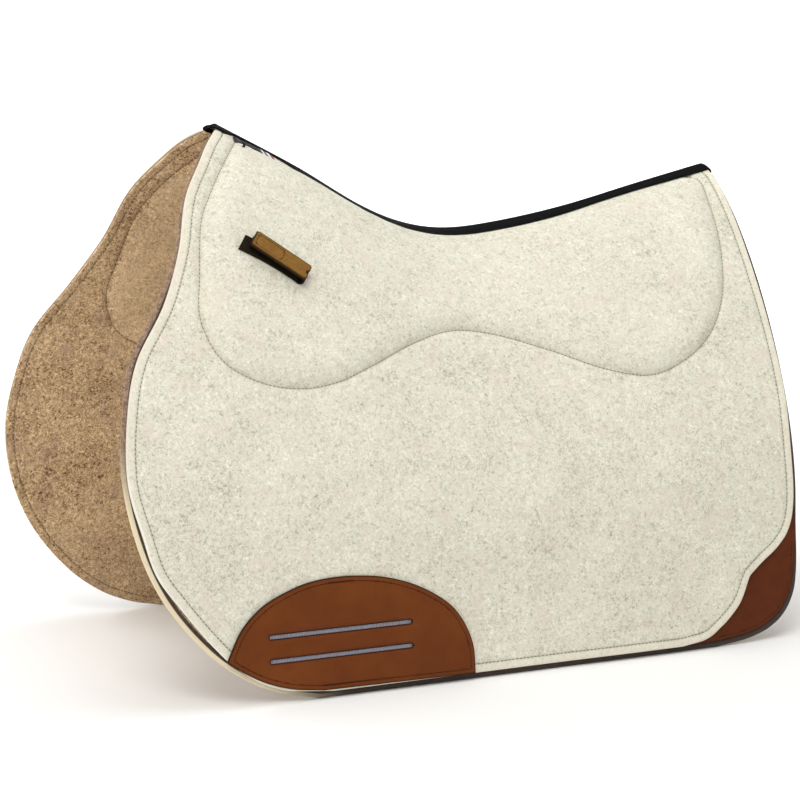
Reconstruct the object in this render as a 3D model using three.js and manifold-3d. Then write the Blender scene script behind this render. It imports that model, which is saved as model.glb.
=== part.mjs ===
// Contoured felt saddle pad, standing open on its two lower edges.
// Millimetres. +Z is up, +X runs along the spine to the rear, -Y is the pad's left side.
// The origin is on the floor, under the middle of the pad's length.
import * as THREE from "three";
import Module from "manifold-3d";
import { mergeVertices } from "three/addons/utils/BufferGeometryUtils.js";

// Seam where the two halves meet, as x and height. It dips behind the withers.
const SEAM = [
  [-214, 554], [-125, 509], [-50, 466], [0, 446], [50, 438],
  [110, 442], [200, 457], [300, 481], [385, 501],
];
const SEAM_FADE = 80; // length over which the surface levels off ahead of the withers
const SEAM_FRONT_SLOPE = 0.5;
const SEAM_HALF_GAP = 0.3;

// Cross-section: an arch down to FLAT_HEIGHT, a flat panel below it.
const FLOOR_HALF_WIDTH = 224;
const FLARE = 0.107;
const FLAT_HEIGHT = 150;
const ARCH_FULLNESS = 1.75;
const ARCH_POWER = 0.7;

// Layers, as distances outwards from the outer face of the lining.
const LINING = 5;
const LAYER_GAP = 0.8;
const OUTER_FELT = 4.5;
const INSERT_LOFT = 5.5;
const INSERT_INNER_GAP = 1.2;
const INSERT_OUTER_GAP = 1.8;
const LOFT_WIDTH = 26;
const GUARD_LIFT = 2.4;

// Spine binding.
const BINDING_HALF_WIDTH = 17;
const BINDING = 1.2;
const BINDING_OVER = 9.8; // clear of the felt below, which turns under it as the halves spread
const BINDING_UNDER = 1.5;
const BINDING_FRONT_GAP = 5;
const BINDING_REAR_GAP = 2.2;
const SEAM_PINCH = 2.5;
const PINCH_FROM = 24; // half widths between which the felt comes back to its full thickness
const PINCH_TO = 36;

// Outline of the lining: x of the front and the rear edge at each height.
const LINING_FRONT = [
  [0, -196], [8, -233], [25, -272], [56, -312], [106, -352], [160, -376], [225, -387],
  [285, -380], [335, -365], [385, -330], [435, -300], [487, -279], [524, -251], [540, -236], [554, -214],
];
const LINING_REAR = [
  [0, 268], [4, 305], [13, 336], [30, 359], [60, 373], [130, 377], [250, 381], [400, 384], [501, 385],
];

// Outline of the outer felt. Its lower rear corner is cut back in two curves that meet in a cusp.
const OUTER_BOTTOM = 6;
const OUTER_FRONT = [
  [6, -183], [12, -233], [32, -275], [61, -306], [105, -341], [135, -361], [170, -372], [224, -383],
  [285, -376], [335, -359], [385, -323], [435, -297], [487, -277], [524, -249], [540, -234], [554, -214],
];
const CUSP_HEIGHT = 73;
const OUTER_REAR_LOW = [[6, 222], [10, 250], [21, 270], [32, 284], [46, 297], [73, 310]];
const OUTER_REAR_HIGH = [
  [73, 310], [87, 328], [98, 344], [112, 358], [128, 366], [150, 370],
  [203, 373], [275, 379], [400, 381], [501, 385],
];

// Stitched pocket that holds the padding insert, closed, as x and height.
const POCKET = [
  [-190, 525], [-125, 496], [-50, 453], [0, 433], [50, 425], [110, 429], [200, 444], [300, 468],
  [345, 478], [358, 462], [351, 414], [331, 361], [297, 320], [250, 295], [216, 288], [165, 297],
  [105, 319], [45, 337], [0, 342], [-50, 334], [-110, 315], [-150, 303], [-195, 300], [-240, 311],
  [-272, 333], [-287, 370], [-278, 410], [-262, 462], [-240, 499], [-215, 522],
];

// Rows of the felt sheets, as fractions of the way from the seam to the lower edge.
const ROWS = [
  0, 0.012, 0.03, 0.055, 0.09, 0.13, 0.17, 0.21, 0.25, 0.29, 0.33, 0.37, 0.41,
  0.45, 0.49, 0.55, 0.62, 0.69, 0.755, 0.81, 0.867, 0.905, 0.937, 0.962, 0.983, 1,
];

// Half-moon girth patch, in the plane of the panel: x and distance up from the floor.
const PATCH_ARC = [
  [-296, 47], [-279, 77], [-257, 97], [-234, 108], [-208, 116], [-179, 119], [-151, 118],
  [-124, 114], [-95, 105], [-68, 91], [-48, 75], [-35, 55], [-28, 34], [-27, 8],
];
const PATCH_LOW = [[-196, 10], [-227, 14], [-254, 22], [-276, 33]];
const PATCH_LEATHER = 2.2;
const PATCH_BACKING = 1;
const SLOT = { from: -251, to: -96, width: 5.2, heights: [42.5, 66.5] };

// Rear corner guard, in the plane of the panel.
const GUARD = 1.6;
const GUARD_OUTER = [[206, 4], [272, 6], [309, 11], [335, 20], [354, 35], [366, 56], [372, 87], [374, 128], [374, 149]];
const GUARD_INNER = [[356, 146], [338, 122], [310, 100], [286, 76], [262, 48], [232, 26]];

// Keeper strap on each side: a loop of webbing with a leather facing, closed by hook and loop.
const KEEPER = {
  x: -197, z: 418, slope: -0.73, width: 20, front: -41, rear: 33,
  web: 1.8, base: [1.0, 2.8], baseRear: 26, foldHeight: 7, foldOuter: 5.8, foldInner: 4,
  runFront: -34, runFrontHeight: 9, leather: 2.2, leatherWidth: 19, leatherEnd: 31,
};

const wasm = await Module();
wasm.setup();

// Smooth curve through points [t, value], as a function of t.
function curveThrough(points) {
  const slope = points.map((p, i) => {
    const a = points[Math.max(i - 1, 0)];
    const b = points[Math.min(i + 1, points.length - 1)];
    return (b[1] - a[1]) / (b[0] - a[0]);
  });
  return (t) => {
    const last = points.length - 1;
    if (t <= points[0][0]) return points[0][1];
    if (t >= points[last][0]) return points[last][1];
    let i = 0;
    while (t > points[i + 1][0]) i++;
    const [t0, v0] = points[i];
    const [t1, v1] = points[i + 1];
    const h = t1 - t0;
    const s = (t - t0) / h;
    const s2 = s * s;
    const s3 = s2 * s;
    const values = (2 * s3 - 3 * s2 + 1) * v0 + (3 * s2 - 2 * s3) * v1;
    return values + ((s3 - 2 * s2 + s) * slope[i] + (s3 - s2) * slope[i + 1]) * h;
  };
}

const seamCurve = curveThrough(SEAM);

function seamHeight(x) {
  const ahead = Math.min(Math.max(SEAM[0][0] - x, 0), SEAM_FADE);
  return seamCurve(x) + SEAM_FRONT_SLOPE * (ahead - (ahead * ahead) / (2 * SEAM_FADE));
}

// Half width of the pad at a height, measured to the outer face of the lining.
function halfWidth(x, z) {
  const top = seamHeight(x);
  const t = THREE.MathUtils.clamp((top - z) / (top - FLAT_HEIGHT), 0, 1);
  const arch = Math.pow(1 - Math.pow(1 - t, ARCH_FULLNESS), ARCH_POWER);
  return SEAM_HALF_GAP + (FLOOR_HALF_WIDTH - FLARE * z) * arch;
}

// Point of the left panel's reference surface, by x and depth parameter v: depth grows as v^(1/power).
function surfaceAt(x, v) {
  const z = seamHeight(x) * (1 - Math.pow(v, 1 / ARCH_POWER));
  return new THREE.Vector3(x, -halfWidth(x, z), z);
}

function normalAt(x, v) {
  const h = 1e-3;
  const low = Math.max(v - h, 0);
  const alongX = surfaceAt(x + 0.5, v).sub(surfaceAt(x - 0.5, v));
  const down = surfaceAt(x, v + h).sub(surfaceAt(x, low));
  return down.cross(alongX).normalize();
}

// Point at x and height z, lifted outwards from the reference surface.
function onPanel(x, z, lift) {
  const v = Math.pow(THREE.MathUtils.clamp(1 - z / seamHeight(x), 0, 1), ARCH_POWER);
  return surfaceAt(x, v).addScaledVector(normalAt(x, v), lift);
}

const pocketOutline = new THREE.CatmullRomCurve3(
  POCKET.map(([x, z]) => new THREE.Vector3(x, z, 0)), true, "centripetal",
).getPoints(90);

// Distance from a point to the pocket's stitch line, negative outside the pocket.
function insidePocket(x, z) {
  let nearest = Infinity;
  let inside = false;
  for (let i = 0; i + 1 < pocketOutline.length; i++) {
    const a = pocketOutline[i];
    const b = pocketOutline[i + 1];
    const along = new THREE.Vector2(b.x - a.x, b.y - a.y);
    const rel = new THREE.Vector2(x - a.x, z - a.y);
    const t = THREE.MathUtils.clamp(rel.dot(along) / along.lengthSq(), 0, 1);
    nearest = Math.min(nearest, rel.addScaledVector(along, -t).length());
    const crosses = a.y > z !== b.y > z;
    if (crosses && x < ((b.x - a.x) * (z - a.y)) / (b.y - a.y) + a.x) inside = !inside;
  }
  return inside ? nearest : -nearest;
}

// How far the padding insert lifts the outer felt.
function loft(x, z) {
  const u = THREE.MathUtils.clamp(insidePocket(x, z) / LOFT_WIDTH, 0, 1);
  return INSERT_LOFT * (1 - Math.pow(1 - u, 2.2));
}

// How far the corner guard lifts the outer felt.
function guardLift(x, z) {
  const away = Math.hypot(x - 385, z);
  return GUARD_LIFT * (1 - THREE.MathUtils.smoothstep(away, 215, 320));
}

function outerFeltInner(x, z) {
  return LAYER_GAP + loft(x, z) + guardLift(x, z);
}

// The outer felt is pressed thin where the binding covers it.
function outerFeltOuter(x, z) {
  const width = halfWidth(x, z);
  const pinch = SEAM_PINCH * (1 - THREE.MathUtils.smoothstep(width, PINCH_FROM, PINCH_TO));
  return outerFeltInner(x, z) + OUTER_FELT - pinch;
}

// x of an edge on the row that is a fraction q of the way from the seam to the lower edge.
function edgeOnRow(edge, q, bottom) {
  let x = edge(300);
  for (let i = 0; i < 60; i++) x = edge(bottom + (seamHeight(x) - bottom) * (1 - q));
  return x;
}

// Felt sheet of the left panel: a box with many segments, bent onto the panel.
function feltSheet(columns, front, rear, bottom, inner, outer) {
  const rows = ROWS.length - 1;
  const geometry = new THREE.BoxGeometry(1, 1, 1, columns, rows, 1);
  const ends = ROWS.map((q) => [edgeOnRow(front, q, bottom), edgeOnRow(rear, q, bottom)]);
  return bent(geometry, (u, down, out) => {
    const q = ROWS[Math.round(down * rows)];
    const [from, to] = ends[Math.round(down * rows)];
    const x = THREE.MathUtils.lerp(from, to, u);
    const z = bottom + (seamHeight(x) - bottom) * (1 - q);
    const point = onPanel(x, z, out > 0.5 ? outer(x, z) : inner(x, z));
    point.y = Math.min(point.y, -SEAM_HALF_GAP);
    point.z = Math.max(point.z, 0);
    return point;
  });
}

// Moves every vertex of a unit box to place(u, down, out), each from 0 to 1.
function bent(geometry, place) {
  const position = geometry.getAttribute("position");
  for (let i = 0; i < position.count; i++) {
    const u = position.getX(i) + 0.5;
    const down = 0.5 - position.getY(i);
    const out = position.getZ(i) + 0.5;
    const p = place(u, down, out);
    position.setXYZ(i, p.x, p.y, p.z);
  }
  geometry.computeVertexNormals();
  return geometry;
}

function outerFelt() {
  const front = curveThrough(OUTER_FRONT);
  const low = curveThrough(OUTER_REAR_LOW);
  const high = curveThrough(OUTER_REAR_HIGH);
  const rear = (z) => (z < CUSP_HEIGHT ? low(z) : high(z));
  return feltSheet(26, front, rear, OUTER_BOTTOM, outerFeltInner, outerFeltOuter);
}

function liningFelt() {
  const front = curveThrough(LINING_FRONT);
  const rear = curveThrough(LINING_REAR);
  return feltSheet(20, front, rear, 0, () => -LINING, () => 0);
}

// Lowest and highest point of the pocket at x.
function pocketSpan(x) {
  let low = Infinity;
  let high = -Infinity;
  for (let i = 0; i + 1 < pocketOutline.length; i++) {
    const a = pocketOutline[i];
    const b = pocketOutline[i + 1];
    if (a.x > x === b.x > x) continue;
    const z = a.y + ((b.y - a.y) * (x - a.x)) / (b.x - a.x);
    low = Math.min(low, z);
    high = Math.max(high, z);
  }
  return [low, high];
}

// Foam insert that fills the pocket, with its edge set back from the stitching.
function paddingInsert() {
  const inset = 20;
  const columns = 18;
  const rows = 7;
  const from = -287 + inset + 3;
  const to = 358 - inset - 2;
  return bent(new THREE.BoxGeometry(1, 1, 1, columns, rows, 1), (u, down, out) => {
    const x = THREE.MathUtils.lerp(from, to, u);
    const [low, high] = pocketSpan(x);
    const side = Math.min(inset, 0.3 * (high - low));
    const z = THREE.MathUtils.lerp(high - side, low + side, down);
    return onPanel(x, z, out > 0.5 ? LAYER_GAP + loft(x, z) - INSERT_OUTER_GAP : INSERT_INNER_GAP);
  });
}

// Arc length along the section from the seam to each side, turned into the depth parameter.
function depthAtArc(x, arc) {
  let low = 0;
  let high = 0.4;
  for (let i = 0; i < 24; i++) {
    const mid = (low + high) / 2;
    let length = 0;
    let last = surfaceAt(x, 0);
    for (let k = 1; k <= 12; k++) {
      const next = surfaceAt(x, (mid * k) / 12);
      length += next.distanceTo(last);
      last = next;
    }
    if (length < arc) low = mid;
    else high = mid;
  }
  return (low + high) / 2;
}

// Point near the seam, by x, signed arc length across (negative on the left) and lift.
function acrossSpine(x, across, lift) {
  const v = depthAtArc(x, Math.abs(across));
  const point = surfaceAt(x, v).addScaledVector(normalAt(x, v), lift);
  if (Math.abs(across) < 0.01) point.y = 0;
  if (across > 0) point.y = -point.y;
  return point;
}

// Height of the lining's inner face where the edge of the binding's underside meets it.
function undersideHeight(x) {
  const inner = (v) => surfaceAt(x, v).addScaledVector(normalAt(x, v), -LINING);
  let low = 0.02;
  let high = 0.5;
  for (let i = 0; i < 24; i++) {
    const mid = (low + high) / 2;
    if (-inner(mid).y < BINDING_HALF_WIDTH) low = mid;
    else high = mid;
  }
  const edge = inner(high);
  const slope = (seamHeight(x + 1) - seamHeight(x - 1)) / 2;
  return edge.z + slope * (x - edge.x);
}

// Solid along the whole spine: its top follows the crown, its underside is flat across.
function spineSlab(halfWidth, over, under, tape) {
  const front = curveThrough(LINING_FRONT);
  return bent(new THREE.BoxGeometry(1, 1, 1, 20, 4, 1), (u, down, out) => {
    const across = (1 - 2 * down) * halfWidth;
    const start = front(acrossSpine(-216, across, 0).z) - BINDING_FRONT_GAP - tape;
    const x = THREE.MathUtils.lerp(start, 385 + BINDING_REAR_GAP + tape, u);
    if (out > 0.5) return acrossSpine(x, across, over);
    return new THREE.Vector3(x, across, undersideHeight(x) - under);
  });
}

// Binding tape: over the seam, round both ends and back along the underside.
function spineBinding() {
  const whole = spineSlab(BINDING_HALF_WIDTH, BINDING_OVER + BINDING, BINDING_UNDER + BINDING, BINDING);
  const inside = spineSlab(BINDING_HALF_WIDTH + 3, BINDING_OVER, BINDING_UNDER, 0);
  return fromSolid(toSolid(whole).subtract(toSolid(inside)));
}

function toSolid(geometry) {
  const bare = new THREE.BufferGeometry().setAttribute("position", geometry.getAttribute("position"));
  if (geometry.index) bare.setIndex(geometry.index);
  const merged = mergeVertices(bare, 1e-4);
  const mesh = new wasm.Mesh({
    numProp: 3,
    vertProperties: new Float32Array(merged.getAttribute("position").array),
    triVerts: new Uint32Array(merged.index.array),
  });
  return new wasm.Manifold(mesh);
}

function fromSolid(solid) {
  const mesh = solid.getMesh();
  const geometry = new THREE.BufferGeometry();
  geometry.setAttribute("position", new THREE.BufferAttribute(mesh.vertProperties, 3));
  geometry.setIndex(new THREE.BufferAttribute(mesh.triVerts, 1));
  geometry.computeVertexNormals();
  return geometry;
}

// Flat piece in the plane of the left panel, from an outline of x and distance up from the floor.
function flatPiece(shape, inner, outer) {
  const geometry = new THREE.ExtrudeGeometry(shape, {
    depth: outer - inner, bevelEnabled: false, curveSegments: 6,
  });
  geometry.translate(0, 0, inner);
  geometry.rotateX(Math.PI / 2);
  geometry.rotateX(-Math.atan(FLARE));
  geometry.translate(0, -(FLOOR_HALF_WIDTH + SEAM_HALF_GAP), 0);
  return geometry;
}

function outline(points) {
  return new THREE.Shape(points.map(([x, y]) => new THREE.Vector2(x, y)));
}

function slotPath(height) {
  const r = SLOT.width / 2;
  const path = new THREE.Path();
  path.moveTo(SLOT.from + r, height - r);
  path.lineTo(SLOT.to - r, height - r);
  path.absarc(SLOT.to - r, height, r, -Math.PI / 2, Math.PI / 2, false);
  path.lineTo(SLOT.from + r, height + r);
  path.absarc(SLOT.from + r, height, r, Math.PI / 2, (3 * Math.PI) / 2, false);
  return path;
}

const PATCH_BASE = LAYER_GAP + OUTER_FELT + 0.4;

function girthPatch() {
  const shape = outline([...PATCH_ARC, ...PATCH_LOW]);
  shape.holes.push(...SLOT.heights.map(slotPath));
  const inner = PATCH_BASE + PATCH_BACKING + 0.3;
  return flatPiece(shape, inner, inner + PATCH_LEATHER);
}

// Grey fabric behind the slots, so that a strap can pass behind the leather between them.
function patchBacking() {
  const shape = outline([[-262, 30], [-85, 30], [-85, 79], [-262, 79]]);
  return flatPiece(shape, PATCH_BASE, PATCH_BASE + PATCH_BACKING);
}

function cornerGuard() {
  return flatPiece(outline(GUARD_OUTER.concat(GUARD_INNER)), 0.3, 0.3 + GUARD);
}

// Small flat trim that lies on the outer felt beside the binding.
function spineTrim(from, to, near, far, thickness) {
  return bent(new THREE.BoxGeometry(1, 1, 1, 3, 2, 1), (u, down, out) => {
    const x = THREE.MathUtils.lerp(from, to, u);
    const across = -THREE.MathUtils.lerp(near, far, down);
    return acrossSpine(x, across, LAYER_GAP + OUTER_FELT + 0.9 + (out > 0.5 ? thickness : 0));
  });
}

// Frame of the keeper strap: origin on the outer felt, then along the strap, outwards and across it.
function keeperFrame() {
  const felt = (x, z) => onPanel(x, z, outerFeltOuter(x, z));
  const origin = felt(KEEPER.x, KEEPER.z);
  const half = 30;
  const along = felt(KEEPER.x + half, KEEPER.z + half * KEEPER.slope)
    .sub(felt(KEEPER.x - half, KEEPER.z - half * KEEPER.slope)).normalize();
  const up = felt(KEEPER.x, KEEPER.z + 12).sub(felt(KEEPER.x, KEEPER.z - 12));
  const outwards = along.clone().cross(up).normalize();
  const across = outwards.clone().cross(along);
  return { origin, along, outwards, across };
}

const keeper = keeperFrame();

function keeperPoint(along, outwards, across) {
  return keeper.origin.clone()
    .addScaledVector(keeper.along, along)
    .addScaledVector(keeper.outwards, outwards)
    .addScaledVector(keeper.across, across);
}

// Band between two heights above the strap's base plane, which may change along its length.
function keeperBand(from, to, width, low, high, segments) {
  return bent(new THREE.BoxGeometry(1, 1, 1, segments, 2, 1), (u, down, out) => {
    const along = THREE.MathUtils.lerp(from, to, u);
    return keeperPoint(along, out > 0.5 ? high(along) : low(along), (0.5 - down) * width);
  });
}

// Strip that follows the bulge of the outer felt under the strap.
function keeperOnFelt(from, to, width, low, high) {
  return bent(new THREE.BoxGeometry(1, 1, 1, 6, 2, 1), (u, down, out) => {
    const p = keeperPoint(THREE.MathUtils.lerp(from, to, u), 0, (0.5 - down) * width);
    return onPanel(p.x, p.z, outerFeltOuter(p.x, p.z) + (out > 0.5 ? high : low));
  });
}

// Height of the underside of the strap's outer run.
function runHeight(along) {
  const top = KEEPER.foldHeight + KEEPER.foldInner;
  const t = (along - KEEPER.runFront) / (KEEPER.rear - KEEPER.foldOuter - KEEPER.runFront);
  return THREE.MathUtils.lerp(KEEPER.runFrontHeight, top, THREE.MathUtils.clamp(t, 0, 1));
}

const foldAlong = KEEPER.rear - KEEPER.foldOuter;

// Outer run of webbing with the half-round fold at its rear end, drawn in the strap's own section.
function keeperWebbing() {
  const shape = new THREE.Shape();
  shape.moveTo(KEEPER.runFront, runHeight(KEEPER.runFront));
  shape.lineTo(foldAlong, KEEPER.foldHeight + KEEPER.foldInner);
  shape.absarc(foldAlong, KEEPER.foldHeight, KEEPER.foldInner, Math.PI / 2, -Math.PI / 2, true);
  shape.lineTo(foldAlong, KEEPER.foldHeight - KEEPER.foldOuter);
  shape.absarc(foldAlong, KEEPER.foldHeight, KEEPER.foldOuter, -Math.PI / 2, Math.PI / 2, false);
  shape.lineTo(KEEPER.runFront, runHeight(KEEPER.runFront) + KEEPER.web);
  const geometry = new THREE.ExtrudeGeometry(shape, {
    depth: KEEPER.width, bevelEnabled: false, curveSegments: 8,
  });
  geometry.translate(0, 0, -KEEPER.width / 2);
  const basis = new THREE.Matrix4().makeBasis(
    keeper.along, keeper.outwards, keeper.along.clone().cross(keeper.outwards),
  );
  geometry.applyMatrix4(basis.setPosition(keeper.origin));
  return geometry;
}

function keeperLeather() {
  const base = (along) => runHeight(along) + KEEPER.web + 0.3;
  const front = KEEPER.runFront;
  return keeperBand(front, KEEPER.leatherEnd, KEEPER.leatherWidth, base, (a) => base(a) + KEEPER.leather, 4);
}

const hookEnd = KEEPER.runFront + 20;

function keeperHook() {
  const high = (along) => runHeight(along) - 0.3;
  return keeperBand(KEEPER.runFront, hookEnd, 17, (a) => high(a) - 0.9, high, 1);
}

const COLOURS = {
  cream: [0xdbd9c4, 0.95],
  brown: [0xa88c68, 0.95],
  foam: [0xcfc9b8, 0.9],
  leather: [0x6b371d, 0.55],
  guard: [0x57290f, 0.55],
  tab: [0x8f6232, 0.6],
  webbing: [0x221f18, 0.8],
  tape: [0x181818, 0.8],
  grey: [0x8d8a92, 0.9],
  label: [0x1c1c22, 0.7],
};

const pad = new THREE.Group();

function add(name, geometry, colour, mirrored) {
  const [color, roughness] = COLOURS[colour];
  const mesh = new THREE.Mesh(geometry, new THREE.MeshStandardMaterial({ color, roughness, metalness: 0 }));
  mesh.name = name;
  if (mirrored) mesh.scale.y = -1;
  pad.add(mesh);
}

const PIECES = [
  ["lining_felt", liningFelt(), "brown"],
  ["padding_insert", paddingInsert(), "foam"],
  ["outer_felt", outerFelt(), "cream"],
  ["corner_guard", cornerGuard(), "guard"],
  ["girth_patch_backing", patchBacking(), "grey"],
  ["girth_patch", girthPatch(), "leather"],
  ["pocket_tab", spineTrim(-200, -176, 19, 28, 0.8), "grey"],
  ["keeper_base", keeperOnFelt(KEEPER.front, KEEPER.baseRear - 6, KEEPER.width, ...KEEPER.base), "webbing"],
  ["keeper_loop_patch", keeperOnFelt(KEEPER.runFront, hookEnd, 17, 3.1, 4), "tape"],
  ["keeper_hook_patch", keeperHook(), "tape"],
  ["keeper_strap", keeperWebbing(), "webbing"],
  ["keeper_leather", keeperLeather(), "tab"],
];

for (const [name, geometry, colour] of PIECES) {
  add("left_" + name, geometry, colour, false);
  add("right_" + name, geometry, colour, true);
}
add("spine_binding", spineBinding(), "tape", false);
add("woven_label", spineTrim(-172, -158, 19, 27, 0.7), "label", false);

export default pad;
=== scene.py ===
# %% [markdown]
# # A contoured felt saddle pad
# The pad is two mirrored halves of pressed wool felt, joined along the spine by a black tape. Each half has
# a brown lining, a cream outer felt, and a foam insert quilted between them. Leather patches, corner guards
# and small keeper straps are sewn on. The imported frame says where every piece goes, and this lesson gives
# each piece its real surface.

import math

import bpy
import numpy as np
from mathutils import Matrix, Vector, kdtree, noise
from mathutils.geometry import delaunay_2d_cdt


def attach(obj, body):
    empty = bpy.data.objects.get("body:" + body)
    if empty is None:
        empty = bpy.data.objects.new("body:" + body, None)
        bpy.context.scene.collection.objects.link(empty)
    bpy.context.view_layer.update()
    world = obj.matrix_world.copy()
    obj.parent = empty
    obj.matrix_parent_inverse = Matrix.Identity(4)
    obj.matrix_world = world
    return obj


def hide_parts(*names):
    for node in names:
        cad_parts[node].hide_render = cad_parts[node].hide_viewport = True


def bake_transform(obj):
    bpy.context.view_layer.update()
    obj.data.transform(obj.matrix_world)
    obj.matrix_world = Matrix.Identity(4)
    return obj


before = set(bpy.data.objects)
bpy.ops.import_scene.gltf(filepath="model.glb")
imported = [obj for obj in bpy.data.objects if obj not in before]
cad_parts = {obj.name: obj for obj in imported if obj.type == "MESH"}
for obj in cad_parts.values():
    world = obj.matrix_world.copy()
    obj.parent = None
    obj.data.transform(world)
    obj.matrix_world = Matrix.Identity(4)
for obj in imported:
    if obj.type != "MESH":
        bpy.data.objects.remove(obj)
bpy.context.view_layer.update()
MM = 0.001
SIDES = {"left": 1, "right": -1}

# %% [markdown]
# ## Smooth curves
# A maker draws a pad's outline with a few chalk marks and a flexible batten. `curve_through` is that batten:
# a cubic curve through marks that gives a value for every place between them. `loop_through` does the same
# for a closed line, such as the quilting.

# %% Curves through a few marks
def curve_through(marks):
    t, value = np.array(marks, float).T
    slope = np.empty_like(value)
    slope[1:-1] = (value[2:] - value[:-2]) / (t[2:] - t[:-2])
    slope[0] = (value[1] - value[0]) / (t[1] - t[0])
    slope[-1] = (value[-1] - value[-2]) / (t[-1] - t[-2])

    def at(where):
        where = np.clip(np.asarray(where, float), t[0], t[-1])
        i = np.clip(np.searchsorted(t, where, side="right") - 1, 0, len(t) - 2)
        h = t[i + 1] - t[i]
        s = (where - t[i]) / h
        ends = (2 * s**3 - 3 * s**2 + 1) * value[i] + (3 * s**2 - 2 * s**3) * value[i + 1]
        return ends + ((s**3 - 2 * s**2 + s) * slope[i] + (s**3 - s**2) * slope[i + 1]) * h

    return at


def loop_through(marks, per_gap=24):
    """Closed centripetal Catmull-Rom curve, which keeps tight bends free of kinks."""
    p = np.array(marks, float)
    out = []
    for i in range(len(p)):
        q = [p[(i + k) % len(p)] for k in (-1, 0, 1, 2)]
        gap = [max(np.linalg.norm(b - a), 1e-6) ** 0.5 for a, b in zip(q, q[1:])]
        m1 = (q[1] - q[0]) / gap[0] - (q[2] - q[0]) / (gap[0] + gap[1]) + (q[2] - q[1]) / gap[1]
        m2 = (q[2] - q[1]) / gap[1] - (q[3] - q[1]) / (gap[1] + gap[2]) + (q[3] - q[2]) / gap[2]
        for s in np.arange(per_gap) / per_gap:
            ends = (2 * s**3 - 3 * s**2 + 1) * q[1] + (3 * s**2 - 2 * s**3) * q[2]
            out.append(ends + ((s**3 - 2 * s**2 + s) * m1 + (s**3 - s**2) * m2) * gap[1])
    return np.array(out)


def smooth(value, low, high):
    t = np.clip((value - low) / (high - low), 0, 1)
    return t * t * (3 - 2 * t)


def walked_along(points):
    """Distance walked from the first point to each point of a line."""
    return np.concatenate([[0], np.cumsum(np.linalg.norm(np.diff(points, axis=0), axis=1))])


# %% [markdown]
# ## The former
# Felt is pressed over a former, a wooden shape like a horse's back. Ours is a formula. The seam runs along
# the top and dips behind the withers. Below it every section is an arch that becomes a flat panel. Because
# the section is the same formula at every place along the back, each layer is the same shape with its own
# lift, and layers that lie on each other never cut through each other.

# %% The shape of the back
SEAM = [
    (-214, 554), (-125, 509), (-50, 466), (0, 446), (50, 438), (110, 442), (200, 457), (300, 481), (385, 501)]
SEAM_FADE = 80
SEAM_HALF_GAP = 0.3
FLOOR_HALF_WIDTH = 224
FLARE = 0.107
FLAT_HEIGHT = 150
ARCH_FULLNESS = 1.75
ARCH_POWER = 0.7

seam_curve = curve_through(SEAM)


def seam_height(x):
    ahead = np.clip(SEAM[0][0] - np.asarray(x, float), 0, SEAM_FADE)
    return seam_curve(x) + 0.5 * (ahead - ahead**2 / (2 * SEAM_FADE))


def half_width(x, z):
    top = seam_height(x)
    t = np.clip((top - z) / (top - FLAT_HEIGHT), 0, 1)
    return SEAM_HALF_GAP + (FLOOR_HALF_WIDTH - FLARE * z) * (1 - (1 - t) ** ARCH_FULLNESS) ** ARCH_POWER


def former(x, depth):
    """Point of the left half at x. Depth is 0 at the seam and 1 at the floor."""
    x, depth = np.broadcast_arrays(np.asarray(x, float), depth)
    z = seam_height(x) * (1 - depth ** (1 / ARCH_POWER))
    return np.stack([x, -half_width(x, z), z], -1)


def former_normal(x, depth):
    h = 1e-3
    along = former(x + 0.5, depth) - former(x - 0.5, depth)
    down = former(x, np.minimum(depth + h, 1.05)) - former(x, np.maximum(depth - h, 0))
    normal = np.cross(down, along)
    return normal / np.linalg.norm(normal, axis=-1, keepdims=True)


# %% [markdown]
# ## Flat patterns
# A sheet is cut flat and then bent, so every outline lives in flat pattern coordinates: x along the back,
# and the length of felt up the section from the floor. Two tables, worked out once, turn a height into that
# length and back again.

# %% Tables between the flat pattern and the former
COLUMN_STEP = 4.0
COLUMNS = np.arange(-400, 401, COLUMN_STEP)
ROWS = np.linspace(0, 1, 801)


def measured_sections():
    points = former(COLUMNS[:, None], ROWS[None])
    pieces = np.linalg.norm(np.diff(points[..., 1:], axis=1), axis=-1)
    down = np.concatenate([np.zeros((len(COLUMNS), 1)), np.cumsum(pieces, axis=1)], axis=1)
    return down[:, -1:] - down


LENGTH_AT_DEPTH = measured_sections()
FULL_LENGTH = LENGTH_AT_DEPTH[:, 0]
DEPTH_AT_SHARE = np.array([
    np.interp(ROWS, lengths[::-1] / lengths[0], ROWS[::-1]) for lengths in LENGTH_AT_DEPTH
])


def read_table(table, x, share):
    i = np.clip((x - COLUMNS[0]) / COLUMN_STEP, 0, len(COLUMNS) - 1.001)
    j = np.clip(share, 0, 1) * (len(ROWS) - 1.001)
    i0, j0 = i.astype(int), j.astype(int)
    fi, fj = i - i0, j - j0
    left = table[i0, j0] * (1 - fj) + table[i0, j0 + 1] * fj
    right = table[i0 + 1, j0] * (1 - fj) + table[i0 + 1, j0 + 1] * fj
    return left * (1 - fi) + right * fi


def full_length(x):
    return np.interp(x, COLUMNS, FULL_LENGTH)


def from_seam(points):
    """Distance from the seam of places in the pattern."""
    return full_length(points[:, 0]) - points[:, 1]


def below_seam(x, distance):
    """Pattern coordinates of places at a distance from the seam."""
    return np.stack([x, full_length(x) - distance], -1)


def to_pattern(x, z):
    """Flat pattern coordinates of a point at x and height z."""
    x, z = np.broadcast_arrays(np.asarray(x, float), z)
    depth = np.clip(1 - z / seam_height(x), 0, 1) ** ARCH_POWER
    return np.stack([x, read_table(LENGTH_AT_DEPTH, x, depth)], -1)


def depth_of(x, length):
    return read_table(DEPTH_AT_SHARE, x, length / full_length(x))


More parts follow.
